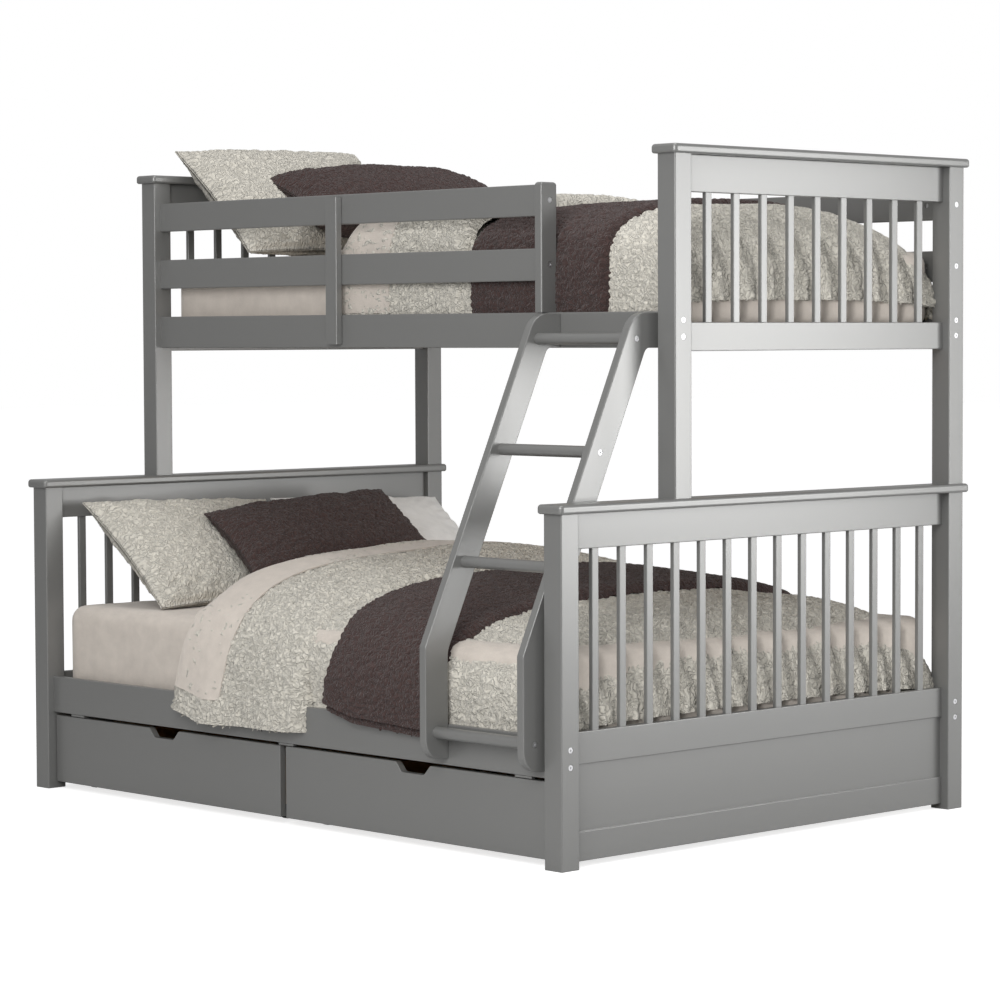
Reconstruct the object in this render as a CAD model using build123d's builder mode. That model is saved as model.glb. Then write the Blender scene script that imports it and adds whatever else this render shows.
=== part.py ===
"""Twin-over-full bunk bed with an angled ladder and two roll-out drawers.

Lengths are millimetres.  X runs along the bed, head at -X and foot at +X.
The ladder and drawers face -Y, the wall side is +Y, and Z is up from the floor.
"""
from build123d import *

import os
from math import atan2, cos, sin, sqrt

os.makedirs("parts", exist_ok=True)

# ---------------------------------------------------------------- driving dimensions
BED_LENGTH = 2022.0          # over the outer faces of the head and foot posts
FULL_WIDTH = 1450.0          # lower bed over the outer faces of its posts
TWIN_WIDTH = 1074.0          # upper bed over the outer faces of its posts
POST = 57.0                  # square posts
BED_BACK = 745.0             # outer face of the posts on the wall side

FULL_POST_TOP = 812.0
CAP_THICK = 22.0
CAP_OVERHANG = 12.0
TWIN_POST_FOOT = FULL_POST_TOP + CAP_THICK
TWIN_POST_TOP = 1639.0

END_RAIL_THICK = 20.0        # rails of the head and foot frames
END_RAIL_SETBACK = 22.0      # from the posts' outer faces
SLAT_WIDTH = 22.0
SLAT_THICK = 11.0
PANEL_THICK = 9.0

SIDE_RAIL_THICK = 18.0
SIDE_RAIL_SETBACK = 20.0
FULL_RAIL_LOW, FULL_RAIL_HIGH = 206.0, 303.0
TWIN_RAIL_LOW, TWIN_RAIL_HIGH = 1186.0, 1272.0
GUARD_LEVELS = ((1349.0, 1428.0), (1506.0, 1583.0))

FULL_END_RAILS = ((14.0, 83.0), (237.0, 312.0), (730.0, FULL_POST_TOP))
TWIN_END_RAILS = ((1178.0, 1246.0), (1551.0, TWIN_POST_TOP))
FULL_SLAT_COUNT = 14
TWIN_SLAT_COUNT = 9

# ---------------------------------------------------------------- derived places
END_FACE = BED_LENGTH / 2
END_INNER = END_FACE - POST
FULL_FRONT = BED_BACK - FULL_WIDTH
TWIN_FRONT = BED_BACK - TWIN_WIDTH
END_RAIL_X = END_FACE - END_RAIL_SETBACK - END_RAIL_THICK / 2
FULL_RAIL_FRONT_Y = FULL_FRONT + SIDE_RAIL_SETBACK + SIDE_RAIL_THICK / 2
TWIN_RAIL_FRONT_Y = TWIN_FRONT + SIDE_RAIL_SETBACK + SIDE_RAIL_THICK / 2
RAIL_BACK_Y = BED_BACK - SIDE_RAIL_SETBACK - SIDE_RAIL_THICK / 2
FULL_MIDDLE_Y = (FULL_FRONT + BED_BACK) / 2

EDGE = 3.0                   # eased edges of posts and rails

# ---------------------------------------------------------------- fasteners
BOLT_DIA = 7.6
BOLT_HOLE_DIA = 8.0
BOLT_HEAD_DIA = 13.6
BOLT_HEAD_THICK = 2.6
BOLT_RECESS_DIA = 15.0
BOLT_RECESS_DEPTH = 3.0
BOLT_REACH = 46.0            # how far a bolt runs into a rail
BOLT_END_ROOM = 4.0          # hole left beyond a bolt's end
HEX_KEY = 5.0
NUT_DIA = 12.0
NUT_LENGTH = 12.0
NUT_HOLE_DIA = 12.4
NUT_HOLE_DEPTH = 15.5       # from the mattress side, so that a rail's outer face stays whole
NUT_INSET = 34.0             # barrel nut centre from the rail's end
PIN_DIA = 10.0
PIN_HOLE_DIA = 10.4
PIN_BELOW, PIN_ABOVE = 36.0, 36.0

FULL_BOLT_HEIGHTS = (236.0, 276.0)
TWIN_BOLT_HEIGHTS = (1212.0, 1251.0)
GUARD_BOLT_HEIGHTS = tuple((low + high) / 2 for low, high in GUARD_LEVELS)


def save(builder, label):
    """Label a finished piece and write it as its own STEP file."""
    builder.part.label = label
    export_step(builder.part, f"parts/{label}.step")


def save_mirrored(builder, label):
    """Write the mirror image of a foot-end piece as its head-end twin."""
    with BuildPart() as other:
        mirror(builder.part, about=Plane.YZ)
    save(other, label)


def box_between(x_range, y_range, z_range):
    """A plain board between two corners, added to the current part."""
    centre = tuple((low + high) / 2 for low, high in (x_range, y_range, z_range))
    size = tuple(high - low for low, high in (x_range, y_range, z_range))
    with Locations(centre):
        Box(*size)


def round_long_edges(builder, axis, radius=EDGE):
    """Ease the edges of a board that run along one axis."""
    fillet(builder.edges().filter_by(axis), radius)


def drill_along_x(x, y, z, diameter, length):
    """Bore a hole along X whose middle is at the given point."""
    with Locations(Location((x, y, z), (0, 90, 0))):
        Cylinder(diameter / 2, length, mode=Mode.SUBTRACT)


def drill_along_y(x, y, z, diameter, length):
    """Bore a hole along Y whose middle is at the given point."""
    with Locations(Location((x, y, z), (90, 0, 0))):
        Cylinder(diameter / 2, length, mode=Mode.SUBTRACT)


def bolt_holes_in_posts(y, heights):
    """Clearance holes and head recesses through a foot post."""
    for z in heights:
        drill_along_x(END_FACE - POST / 2, y, z, BOLT_HOLE_DIA, POST)
        drill_along_x(END_FACE - BOLT_RECESS_DEPTH / 2, y, z, BOLT_RECESS_DIA, BOLT_RECESS_DEPTH)


def bolt_holes_in_rail_end(x_end, inward, y, z):
    """A bolt's bore in a rail's end, with the cross hole of its barrel nut."""
    bore = BOLT_REACH + BOLT_END_ROOM
    mattress_side = -1 if y == RAIL_BACK_Y else 1
    nut_hole_y = y + mattress_side * (SIDE_RAIL_THICK - NUT_HOLE_DEPTH) / 2
    drill_along_x(x_end + inward * bore / 2, y, z, BOLT_HOLE_DIA, bore)
    drill_along_y(x_end + inward * NUT_INSET, nut_hole_y, z, NUT_HOLE_DIA, NUT_HOLE_DEPTH)


# ---------------------------------------------------------------- head and foot frames
def end_posts(y_front, z_low, z_high, bolt_rows, pin_sockets):
    """The two posts of a foot frame, with bolt holes and dowel pin holes."""
    rows = (y_front + POST / 2, BED_BACK - POST / 2)
    with BuildPart() as posts:
        with BuildSketch(Plane.XY.offset(z_low)):
            with Locations(*[(END_FACE - POST / 2, y) for y in rows]):
                RectangleRounded(POST, POST, EDGE)
        extrude(amount=z_high - z_low)
        for y, heights in bolt_rows:
            bolt_holes_in_posts(y, heights)
        for y, depth, z in pin_sockets:
            with Locations((END_FACE - POST / 2, y, z)):
                Cylinder(PIN_HOLE_DIA / 2, depth, mode=Mode.SUBTRACT)
    return posts


def end_rails(y_front, levels):
    """The level rails of a foot frame, as separate boards."""
    with BuildPart() as rails:
        for low, high in levels:
            box_between((END_RAIL_X - END_RAIL_THICK / 2, END_RAIL_X + END_RAIL_THICK / 2),
                        (y_front + POST, BED_BACK - POST), (low, high))
        round_long_edges(rails, Axis.Y, 2.0)
    return rails


def end_slats(y_front, count, z_low, z_high):
    """Upright slats, evenly spaced between the posts."""
    room = BED_BACK - y_front - 2 * POST
    pitch = (room - count * SLAT_WIDTH) / (count + 1) + SLAT_WIDTH
    middle = (y_front + BED_BACK) / 2
    with BuildPart() as slats:
        with BuildSketch(Plane.XY.offset(z_low)):
            with Locations((END_RAIL_X, middle)):
                with GridLocations(1, pitch, 1, count):
                    RectangleRounded(SLAT_THICK, SLAT_WIDTH, 2)
        extrude(amount=z_high - z_low)
    return slats


def end_cap(y_front, z_low, pin_ys):
    """The bullnosed cap board over a frame's posts and top rail."""
    x_range = (END_INNER - CAP_OVERHANG, END_FACE + CAP_OVERHANG)
    y_range = (y_front - CAP_OVERHANG, BED_BACK + CAP_OVERHANG)
    with BuildPart() as cap:
        box_between(x_range, y_range, (z_low, z_low + CAP_THICK))
        fillet(cap.edges().filter_by(Axis.Z), 10)
        fillet(cap.faces().sort_by(Axis.Z)[-1].edges(), 8)
        fillet(cap.faces().sort_by(Axis.Z)[0].edges(), 6)
        for y in pin_ys:
            with Locations((END_FACE - POST / 2, y, z_low + CAP_THICK / 2)):
                Cylinder(PIN_HOLE_DIA / 2, CAP_THICK, mode=Mode.SUBTRACT)
    return cap


PIN_BACK_Y = BED_BACK - POST / 2
PIN_FRONT_Y = TWIN_FRONT + POST / 2
PIN_X = END_FACE - POST / 2
PIN_IN_FRAME = PIN_BELOW - CAP_THICK          # how far a pin goes below the cap
PIN_SOCKET_Z = FULL_POST_TOP - PIN_IN_FRAME / 2

full_posts = end_posts(
    FULL_FRONT, 0, FULL_POST_TOP,
    ((FULL_RAIL_FRONT_Y, FULL_BOLT_HEIGHTS), (RAIL_BACK_Y, FULL_BOLT_HEIGHTS)),
    ((PIN_BACK_Y, PIN_IN_FRAME, PIN_SOCKET_Z),))
save(full_posts, "full_foot_posts")
save_mirrored(full_posts, "full_head_posts")

twin_post_bolts = ((TWIN_RAIL_FRONT_Y, TWIN_BOLT_HEIGHTS),
                   (RAIL_BACK_Y, TWIN_BOLT_HEIGHTS + GUARD_BOLT_HEIGHTS))
twin_pins = tuple((y, PIN_ABOVE, TWIN_POST_FOOT + PIN_ABOVE / 2) for y in (PIN_FRONT_Y, PIN_BACK_Y))
twin_foot_posts = end_posts(TWIN_FRONT, TWIN_POST_FOOT, TWIN_POST_TOP, twin_post_bolts, twin_pins)
save(twin_foot_posts, "twin_foot_posts")

# The head's front post also carries the front guard rails' bolts.
head_bolts = ((TWIN_RAIL_FRONT_Y, TWIN_BOLT_HEIGHTS + GUARD_BOLT_HEIGHTS),
              (RAIL_BACK_Y, TWIN_BOLT_HEIGHTS + GUARD_BOLT_HEIGHTS))
twin_head_posts = end_posts(TWIN_FRONT, TWIN_POST_FOOT, TWIN_POST_TOP, head_bolts, twin_pins)
save_mirrored(twin_head_posts, "twin_head_posts")

full_rails = end_rails(FULL_FRONT, FULL_END_RAILS)
with BuildPart() as full_foot_rails:
    add(full_rails.part)
    with Locations((PIN_X, PIN_FRONT_Y, PIN_SOCKET_Z)):
        Cylinder(PIN_HOLE_DIA / 2, PIN_IN_FRAME, mode=Mode.SUBTRACT)
save(full_foot_rails, "full_foot_rails")
save_mirrored(full_foot_rails, "full_head_rails")

twin_rails = end_rails(TWIN_FRONT, TWIN_END_RAILS)
save(twin_rails, "twin_foot_rails")
save_mirrored(twin_rails, "twin_head_rails")

full_slats = end_slats(FULL_FRONT, FULL_SLAT_COUNT, FULL_END_RAILS[1][1], FULL_END_RAILS[2][0])
save(full_slats, "full_foot_spindles")
save_mirrored(full_slats, "full_head_spindles")

twin_slats = end_slats(TWIN_FRONT, TWIN_SLAT_COUNT, TWIN_END_RAILS[0][1], TWIN_END_RAILS[1][0])
save(twin_slats, "twin_foot_spindles")
save_mirrored(twin_slats, "twin_head_spindles")

with BuildPart() as full_panel:
    box_between((END_RAIL_X - PANEL_THICK / 2, END_RAIL_X + PANEL_THICK / 2),
                (FULL_FRONT + POST, BED_BACK - POST),
                (FULL_END_RAILS[0][1], FULL_END_RAILS[1][0]))
save(full_panel, "full_foot_panel")
save_mirrored(full_panel, "full_head_panel")

full_cap = end_cap(FULL_FRONT, FULL_POST_TOP, (PIN_FRONT_Y, PIN_BACK_Y))
save(full_cap, "full_foot_cap")
save_mirrored(full_cap, "full_head_cap")

twin_cap = end_cap(TWIN_FRONT, TWIN_POST_TOP, ())
save(twin_cap, "twin_foot_cap")
save_mirrored(twin_cap, "twin_head_cap")


# ---------------------------------------------------------------- side and guard rails
def long_rail(x_range, y_middle, levels, bolt_heights):
    """Boards along the bed, each bored at both ends for its bolts and barrel nuts."""
    with BuildPart() as rail:
        for low, high in levels:
            box_between(x_range,
                        (y_middle - SIDE_RAIL_THICK / 2, y_middle + SIDE_RAIL_THICK / 2), (low, high))
        round_long_edges(rail, Axis.X)
        for z in bolt_heights:
            bolt_holes_in_rail_end(x_range[0], 1, y_middle, z)
            bolt_holes_in_rail_end(x_range[1], -1, y_middle, z)
    return rail


STRINGER_THICK = 22.0
STRINGER_LEFT_X = (591.0, 591.0 + STRINGER_THICK)
STRINGER_RIGHT_X = (919.0, 919.0 + STRINGER_THICK)
LADDER_BOLT_X = (sum(STRINGER_LEFT_X) / 2, sum(STRINGER_RIGHT_X) / 2)
LADDER_TOP_BOLT_Z = 1229.0
LADDER_FOOT_BOLT_Z = 249.0
UPRIGHT_X = (543.0, 568.0)
UPRIGHT_DEPTH = 53.0
STILE_X = (-235.0, -191.0)
STILE_THICK = 20.0
BACK_STILE_X = (-22.0, 22.0)

full_levels = ((FULL_RAIL_LOW, FULL_RAIL_HIGH),)
twin_levels = ((TWIN_RAIL_LOW, TWIN_RAIL_HIGH),)
WHOLE_X = (-END_INNER, END_INNER)
GUARD_X = (-END_INNER, UPRIGHT_X[0])


def ladder_holes(rail_y, z):
    """Clearance holes for the two bolts that hold the ladder, sunk from the mattress side."""
    for x in LADDER_BOLT_X:
        drill_along_y(x, rail_y, z, BOLT_HOLE_DIA, SIDE_RAIL_THICK)
        drill_along_y(x, rail_y + SIDE_RAIL_THICK / 2 - BOLT_RECESS_DEPTH / 2, z,
                      BOLT_RECESS_DIA, BOLT_RECESS_DEPTH)


full_front = long_rail(WHOLE_X, FULL_RAIL_FRONT_Y, full_levels, FULL_BOLT_HEIGHTS)
with BuildPart() as full_front_rail:
    add(full_front.part)
    ladder_holes(FULL_RAIL_FRONT_Y, LADDER_FOOT_BOLT_Z)
save(full_front_rail, "full_side_rail_front")

twin_front = long_rail(WHOLE_X, TWIN_RAIL_FRONT_Y, twin_levels, TWIN_BOLT_HEIGHTS)
with BuildPart() as twin_front_rail:
    add(twin_front.part)
    ladder_holes(TWIN_RAIL_FRONT_Y, LADDER_TOP_BOLT_Z)
save(twin_front_rail, "twin_side_rail_front")

save(long_rail(WHOLE_X, RAIL_BACK_Y, full_levels, FULL_BOLT_HEIGHTS), "full_side_rail_back")
save(long_rail(WHOLE_X, RAIL_BACK_Y, twin_levels, TWIN_BOLT_HEIGHTS), "twin_side_rail_back")
save(long_rail(GUARD_X, TWIN_RAIL_FRONT_Y, GUARD_LEVELS, GUARD_BOLT_HEIGHTS), "guard_rails_front")
save(long_rail(WHOLE_X, RAIL_BACK_Y, GUARD_LEVELS, GUARD_BOLT_HEIGHTS), "guard_rails_back")

# One stile is screwed to the outside of the front guard and one to the inside of the back guard.
STILE_LOW, STILE_HIGH = TWIN_RAIL_LOW + 9, GUARD_LEVELS[1][1] - 7
FRONT_STILE_Y = TWIN_RAIL_FRONT_Y - SIDE_RAIL_THICK / 2
BACK_STILE_Y = RAIL_BACK_Y + SIDE_RAIL_THICK / 2
with BuildPart() as stiles:
    box_between(STILE_X, (FRONT_STILE_Y - STILE_THICK, FRONT_STILE_Y), (STILE_LOW, STILE_HIGH))
    box_between(BACK_STILE_X, (BACK_STILE_Y, BACK_STILE_Y + STILE_THICK), (STILE_LOW, STILE_HIGH))
    round_long_edges(stiles, Axis.Z)
save(stiles, "guard_stiles")

# The upright stands on the side rail and closes the guard beside the ladder.
with BuildPart() as upright:
    box_between(UPRIGHT_X, (TWIN_FRONT, TWIN_FRONT + UPRIGHT_DEPTH),
                (TWIN_RAIL_HIGH, GUARD_LEVELS[1][1] + 5))
    round_long_edges(upright, Axis.Z, 4)
    fillet(upright.faces().sort_by(Axis.Z)[-1].edges().filter_by(Axis.X), 8)
    for z in GUARD_BOLT_HEIGHTS:
        drill_along_x(sum(UPRIGHT_X) / 2, TWIN_RAIL_FRONT_Y, z, BOLT_HOLE_DIA, UPRIGHT_X[1] - UPRIGHT_X[0])
        drill_along_x(UPRIGHT_X[1] - BOLT_RECESS_DEPTH / 2, TWIN_RAIL_FRONT_Y, z,
                      BOLT_RECESS_DIA, BOLT_RECESS_DEPTH)
save(upright, "guard_upright")


# ---------------------------------------------------------------- ladder
LADDER_FRONT = -757.0                                     # the foremost face of the ladder
LADDER_BACK_TOP = TWIN_RAIL_FRONT_Y - SIDE_RAIL_THICK / 2
LADDER_BACK_LOW = FULL_RAIL_FRONT_Y - SIDE_RAIL_THICK / 2
LADDER_KNEE = 490.0
LADDER_FOOT = 222.0
LADDER_TOP = TWIN_RAIL_HIGH - 3
LADDER_UNDER = TWIN_RAIL_LOW + 1
LADDER_SLOPE = 0.4675                                     # forward run over drop
BOARD_RUN = 74.0                                          # level width of the slanted board
LADDER_SHOULDER_Y = LADDER_FRONT + LADDER_SLOPE * (LADDER_TOP - LADDER_KNEE)
RUNG_DIA = 28.0
RUNG_TENON_DIA = 20.0
RUNG_TENON = 12.0
RUNG_HEIGHTS = (287.0, 684.0, 946.0, 1208.0)


def slanted_front(z):
    """Y of the stringers' slanted front edge at a height."""
    return LADDER_FRONT + LADDER_SLOPE * (z - LADDER_KNEE)


def rung_y(z):
    """Y of a rung's axis, in the middle of the board at its height."""
    if z < LADDER_KNEE:
        return (LADDER_FRONT + LADDER_BACK_LOW) / 2
    return slanted_front(z) + BOARD_RUN / 2


RUNGS = tuple((rung_y(z), z) for z in RUNG_HEIGHTS)
RUNG_SOCKET_DIA = RUNG_TENON_DIA + 0.2
RUNG_BOLT_REACH = 34.0
MOUNT_BOLT_REACH = 36.0


def stringer(x_range, inner_x, outer_x):
    """One bent side board of the ladder: level top, slanted run and upright foot."""
    outward = 1 if outer_x > inner_x else -1
    x_middle = (inner_x + outer_x) / 2
    knee_back = LADDER_KNEE - 14
    under_back = LADDER_BACK_LOW + LADDER_SLOPE * (LADDER_UNDER - knee_back)
    with BuildPart() as board:
        with BuildSketch(Plane.YZ.offset(x_range[0])):
            with BuildLine():
                FilletPolyline(
                    (LADDER_BACK_LOW, LADDER_FOOT), (LADDER_FRONT, LADDER_FOOT),
                    (LADDER_FRONT, LADDER_KNEE), (LADDER_SHOULDER_Y, LADDER_TOP),
                    (LADDER_BACK_TOP, LADDER_TOP), (LADDER_BACK_TOP, LADDER_UNDER),
                    (under_back, LADDER_UNDER), (LADDER_BACK_LOW, knee_back),
                    radius=(0.5, 52, 12, 62, 0.5, 0.5, 22, 60), close=True)
            make_face()
        extrude(amount=x_range[1] - x_range[0])
        fillet(board.faces().filter_by(Axis.X).edges(), 2.5)
        for y, z in RUNGS:
            drill_along_x(inner_x + outward * RUNG_TENON / 2, y, z, RUNG_SOCKET_DIA, RUNG_TENON)
            drill_along_x(x_middle, y, z, BOLT_HOLE_DIA, STRINGER_THICK)
            drill_along_x(outer_x - outward * BOLT_RECESS_DEPTH / 2, y, z,
                          BOLT_RECESS_DIA, BOLT_RECESS_DEPTH)
        drill_along_y(x_middle, LADDER_BACK_TOP - MOUNT_BOLT_REACH / 2, LADDER_TOP_BOLT_Z,
                      BOLT_HOLE_DIA, MOUNT_BOLT_REACH)
        drill_along_y(x_middle, LADDER_BACK_LOW - MOUNT_BOLT_REACH / 2, LADDER_FOOT_BOLT_Z,
                      BOLT_HOLE_DIA, MOUNT_BOLT_REACH)
    return board


save(stringer(STRINGER_LEFT_X, STRINGER_LEFT_X[1], STRINGER_LEFT_X[0]), "ladder_stringer_left")
save(stringer(STRINGER_RIGHT_X, STRINGER_RIGHT_X[0], STRINGER_RIGHT_X[1]), "ladder_stringer_right")

RUNG_X = (STRINGER_LEFT_X[1], STRINGER_RIGHT_X[0])
with BuildPart() as rungs:
    for y, z in RUNGS:
        with BuildSketch(Plane.YZ.offset(RUNG_X[0])):
            with Locations((y, z)):
                Circle(RUNG_DIA / 2)
        extrude(amount=RUNG_X[1] - RUNG_X[0])
        with BuildSketch(Plane.YZ.offset(RUNG_X[0] - RUNG_TENON)):
            with Locations((y, z)):
                Circle(RUNG_TENON_DIA / 2)
        extrude(amount=RUNG_X[1] - RUNG_X[0] + 2 * RUNG_TENON)
        for end, inward in ((RUNG_X[0] - RUNG_TENON, 1), (RUNG_X[1] + RUNG_TENON, -1)):
            drill_along_x(end + inward * RUNG_BOLT_REACH / 2, y, z, BOLT_HOLE_DIA, RUNG_BOLT_REACH)
save(rungs, "ladder_rungs")

# ---------------------------------------------------------------- drawers
DRAWER_GAP = 22.0            # between the two drawer fronts
DRAWER_SIDE_GAP = 3.0        # between a drawer front and the post
DRAWER_SETBACK = 25.0        # drawer front behind the posts' outer faces
DRAWER_FRONT_LOW, DRAWER_FRONT_HIGH = 18.0, 198.0
DRAWER_FRONT_THICK = 18.0
DRAWER_X = ((-END_INNER + DRAWER_SIDE_GAP, -DRAWER_GAP / 2),
            (DRAWER_GAP / 2, END_INNER - DRAWER_SIDE_GAP))
NOTCH_TOP, NOTCH_BOTTOM, NOTCH_DEPTH = 122.0, 78.0, 24.0
DRAWER_BOX_INSET = 20.0      # box side behind the front board's end
DRAWER_BOARD = 12.0
DRAWER_DEPTH = 630.0
DRAWER_BOX_LOW, DRAWER_BOX_HIGH = 46.0, 168.0
DRAWER_BOTTOM = 6.0
WHEEL_DIA, WHEEL_WIDTH, AXLE_DIA = 40.0, 16.0, 6.0
WHEEL_BORE = AXLE_DIA + 0.5
FORK_PLATE, FORK_CHEEK, FORK_SIDE, FORK_ARM = 3.0, 2.5, 44.0, 16.0
WHEEL_SIDE_PLAY = 1.5
WHEEL_INSET_X = 48.0         # wheel centre in from the box side
WHEEL_ROWS = (60.0, DRAWER_DEPTH - 60.0)

DRAWER_FRONT_Y = FULL_FRONT + DRAWER_SETBACK
DRAWER_BOX_Y = (DRAWER_FRONT_Y + DRAWER_FRONT_THICK, DRAWER_FRONT_Y + DRAWER_FRONT_THICK + DRAWER_DEPTH)


def drawer_front(x_range):
    """A drawer's front board with a finger notch in its top edge."""
    middle = sum(x_range) / 2
    with BuildPart() as board:
        with BuildSketch(Plane.XZ.offset(-DRAWER_FRONT_Y)):
            with BuildLine():
                FilletPolyline(
                    (x_range[0], DRAWER_FRONT_LOW), (x_range[1], DRAWER_FRONT_LOW),
                    (x_range[1], DRAWER_FRONT_HIGH), (middle + NOTCH_TOP / 2, DRAWER_FRONT_HIGH),
                    (middle + NOTCH_BOTTOM / 2, DRAWER_FRONT_HIGH - NOTCH_DEPTH),
                    (middle - NOTCH_BOTTOM / 2, DRAWER_FRONT_HIGH - NOTCH_DEPTH),
                    (middle - NOTCH_TOP / 2, DRAWER_FRONT_HIGH), (x_range[0], DRAWER_FRONT_HIGH),
                    radius=(2, 2, 2, 9, 12, 12, 9, 2), close=True)
            make_face()
        extrude(amount=-DRAWER_FRONT_THICK)
        fillet(board.faces().sort_by(Axis.Y)[0].edges(), 2)
    return board


def drawer_box(x_range):
    """Two sides, a back and a bottom, as separate boards."""
    x_low, x_high = x_range[0] + DRAWER_BOX_INSET, x_range[1] - DRAWER_BOX_INSET
    y_low, y_high = DRAWER_BOX_Y
    z_range = (DRAWER_BOX_LOW, DRAWER_BOX_HIGH)
    with BuildPart() as box:
        box_between((x_low, x_low + DRAWER_BOARD), DRAWER_BOX_Y, z_range)
        box_between((x_high - DRAWER_BOARD, x_high), DRAWER_BOX_Y, z_range)
    with BuildPart() as back:
        box_between((x_low + DRAWER_BOARD, x_high - DRAWER_BOARD), (y_high - DRAWER_BOARD, y_high), z_range)
    with BuildPart() as bottom:
        box_between((x_low + DRAWER_BOARD, x_high - DRAWER_BOARD), (y_low, y_high - DRAWER_BOARD),
                    (DRAWER_BOX_LOW, DRAWER_BOX_LOW + DRAWER_BOTTOM))
    return Compound(children=[*box.part.solids(), *back.part.solids(), *bottom.part.solids()])


def wheel_places(x_range):
    """X of a drawer's two wheel columns."""
    return (x_range[0] + DRAWER_BOX_INSET + WHEEL_INSET_X, x_range[1] - DRAWER_BOX_INSET - WHEEL_INSET_X)


def caster_frames(x_range):
    """Four forks with their axles, screwed under the drawer's bottom."""
    cheek_x = WHEEL_WIDTH / 2 + WHEEL_SIDE_PLAY
    with BuildPart() as frames:
        for row in WHEEL_ROWS:
            y = DRAWER_BOX_Y[0] + row
            for x in wheel_places(x_range):
                box_between((x - FORK_SIDE / 2, x + FORK_SIDE / 2), (y - FORK_SIDE / 2, y + FORK_SIDE / 2),
                            (DRAWER_BOX_LOW - FORK_PLATE, DRAWER_BOX_LOW))
                for side in (-1, 1):
                    x_cheek = x + side * (cheek_x + FORK_CHEEK / 2)
                    with BuildSketch(Plane.YZ.offset(x_cheek - FORK_CHEEK / 2)):
                        with Locations((y, WHEEL_DIA / 2)):
                            Circle(FORK_ARM / 2)
                        with Locations((y, (WHEEL_DIA / 2 + DRAWER_BOX_LOW - FORK_PLATE) / 2)):
                            Rectangle(FORK_ARM, DRAWER_BOX_LOW - FORK_PLATE - WHEEL_DIA / 2)
                    extrude(amount=FORK_CHEEK)
                with Locations(Location((x, y, WHEEL_DIA / 2), (0, 90, 0))):
                    Cylinder(AXLE_DIA / 2, 2 * (cheek_x + FORK_CHEEK) + 2)
    return frames


def wheel_pair(x_range, row):
    """The two wheels of one row, bored for their axles."""
    y = DRAWER_BOX_Y[0] + row
    with BuildPart() as wheels:
        for x in wheel_places(x_range):
            with BuildSketch(Plane.YZ.offset(x - WHEEL_WIDTH / 2)):
                with Locations((y, WHEEL_DIA / 2)):
                    Circle(WHEEL_DIA / 2)
                    Circle(WHEEL_BORE / 2, mode=Mode.SUBTRACT)
            extrude(amount=WHEEL_WIDTH)
        fillet(wheels.edges().filter_by(GeomType.CIRCLE).filter_by(lambda e: e.radius > 10), 2)
    return wheels


for side, x_range in zip(("left", "right"), DRAWER_X):
    save(drawer_front(x_range), f"drawer_{side}_front")
    box = drawer_box(x_range)
    box.label = f"drawer_{side}_box"
    export_step(box, f"parts/{box.label}.step")
    save(caster_frames(x_range), f"drawer_{side}_caster_frames")
    save(wheel_pair(x_range, WHEEL_ROWS[0]), f"drawer_{side}_wheels_front")
    save(wheel_pair(x_range, WHEEL_ROWS[1]), f"drawer_{side}_wheels_back")

# Small pads under the front side rail keep the drawer fronts' top gap even.
PAD_WIDTH, PAD_THICK = 55.0, 6.0
PAD_X = (-852.0, 14.0, 862.0)
with BuildPart() as pads:
    for x in PAD_X:
        box_between((x - PAD_WIDTH / 2, x + PAD_WIDTH / 2),
                    (FULL_RAIL_FRONT_Y - SIDE_RAIL_THICK / 2 + 3, FULL_RAIL_FRONT_Y + SIDE_RAIL_THICK / 2),
                    (FULL_RAIL_LOW - PAD_THICK, FULL_RAIL_LOW))
    round_long_edges(pads, Axis.X, 1)
save(pads, "drawer_rail_pads")

# ---------------------------------------------------------------- mattress support
CLEAT = 20.0
CLEAT_HALF_LENGTH = 940.0
SUPPORT_COUNT, SUPPORT_WIDTH, SUPPORT_THICK, SUPPORT_PITCH = 13, 70.0, 18.0, 148.0
FULL_CLEAT_TOP, TWIN_CLEAT_TOP = 232.0, 1210.0
FULL_INNER_Y = (FULL_RAIL_FRONT_Y + SIDE_RAIL_THICK / 2, RAIL_BACK_Y - SIDE_RAIL_THICK / 2)
TWIN_INNER_Y = (TWIN_RAIL_FRONT_Y + SIDE_RAIL_THICK / 2, RAIL_BACK_Y - SIDE_RAIL_THICK / 2)
SLAT_END_GAP = 2.0

with BuildPart() as cleats:
    for (y_low, y_high), top in ((FULL_INNER_Y, FULL_CLEAT_TOP), (TWIN_INNER_Y, TWIN_CLEAT_TOP)):
        for y_range in ((y_low, y_low + CLEAT), (y_high - CLEAT, y_high)):
            box_between((-CLEAT_HALF_LENGTH, CLEAT_HALF_LENGTH), y_range, (top - CLEAT, top))
save(cleats, "slat_cleats")


def support_slats(inner_y, z_low):
    """Cross slats that carry a mattress, laid on the cleats."""
    with BuildPart() as slats:
        with Locations((0, sum(inner_y) / 2, z_low + SUPPORT_THICK / 2)):
            with GridLocations(SUPPORT_PITCH, 1, SUPPORT_COUNT, 1):
                Box(SUPPORT_WIDTH, inner_y[1] - inner_y[0] - 2 * SLAT_END_GAP, SUPPORT_THICK)
        round_long_edges(slats, Axis.Y, 2)
    return slats


save(support_slats(FULL_INNER_Y, FULL_CLEAT_TOP), "full_support_slats")
save(support_slats(TWIN_INNER_Y, TWIN_CLEAT_TOP), "twin_support_slats")

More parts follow.
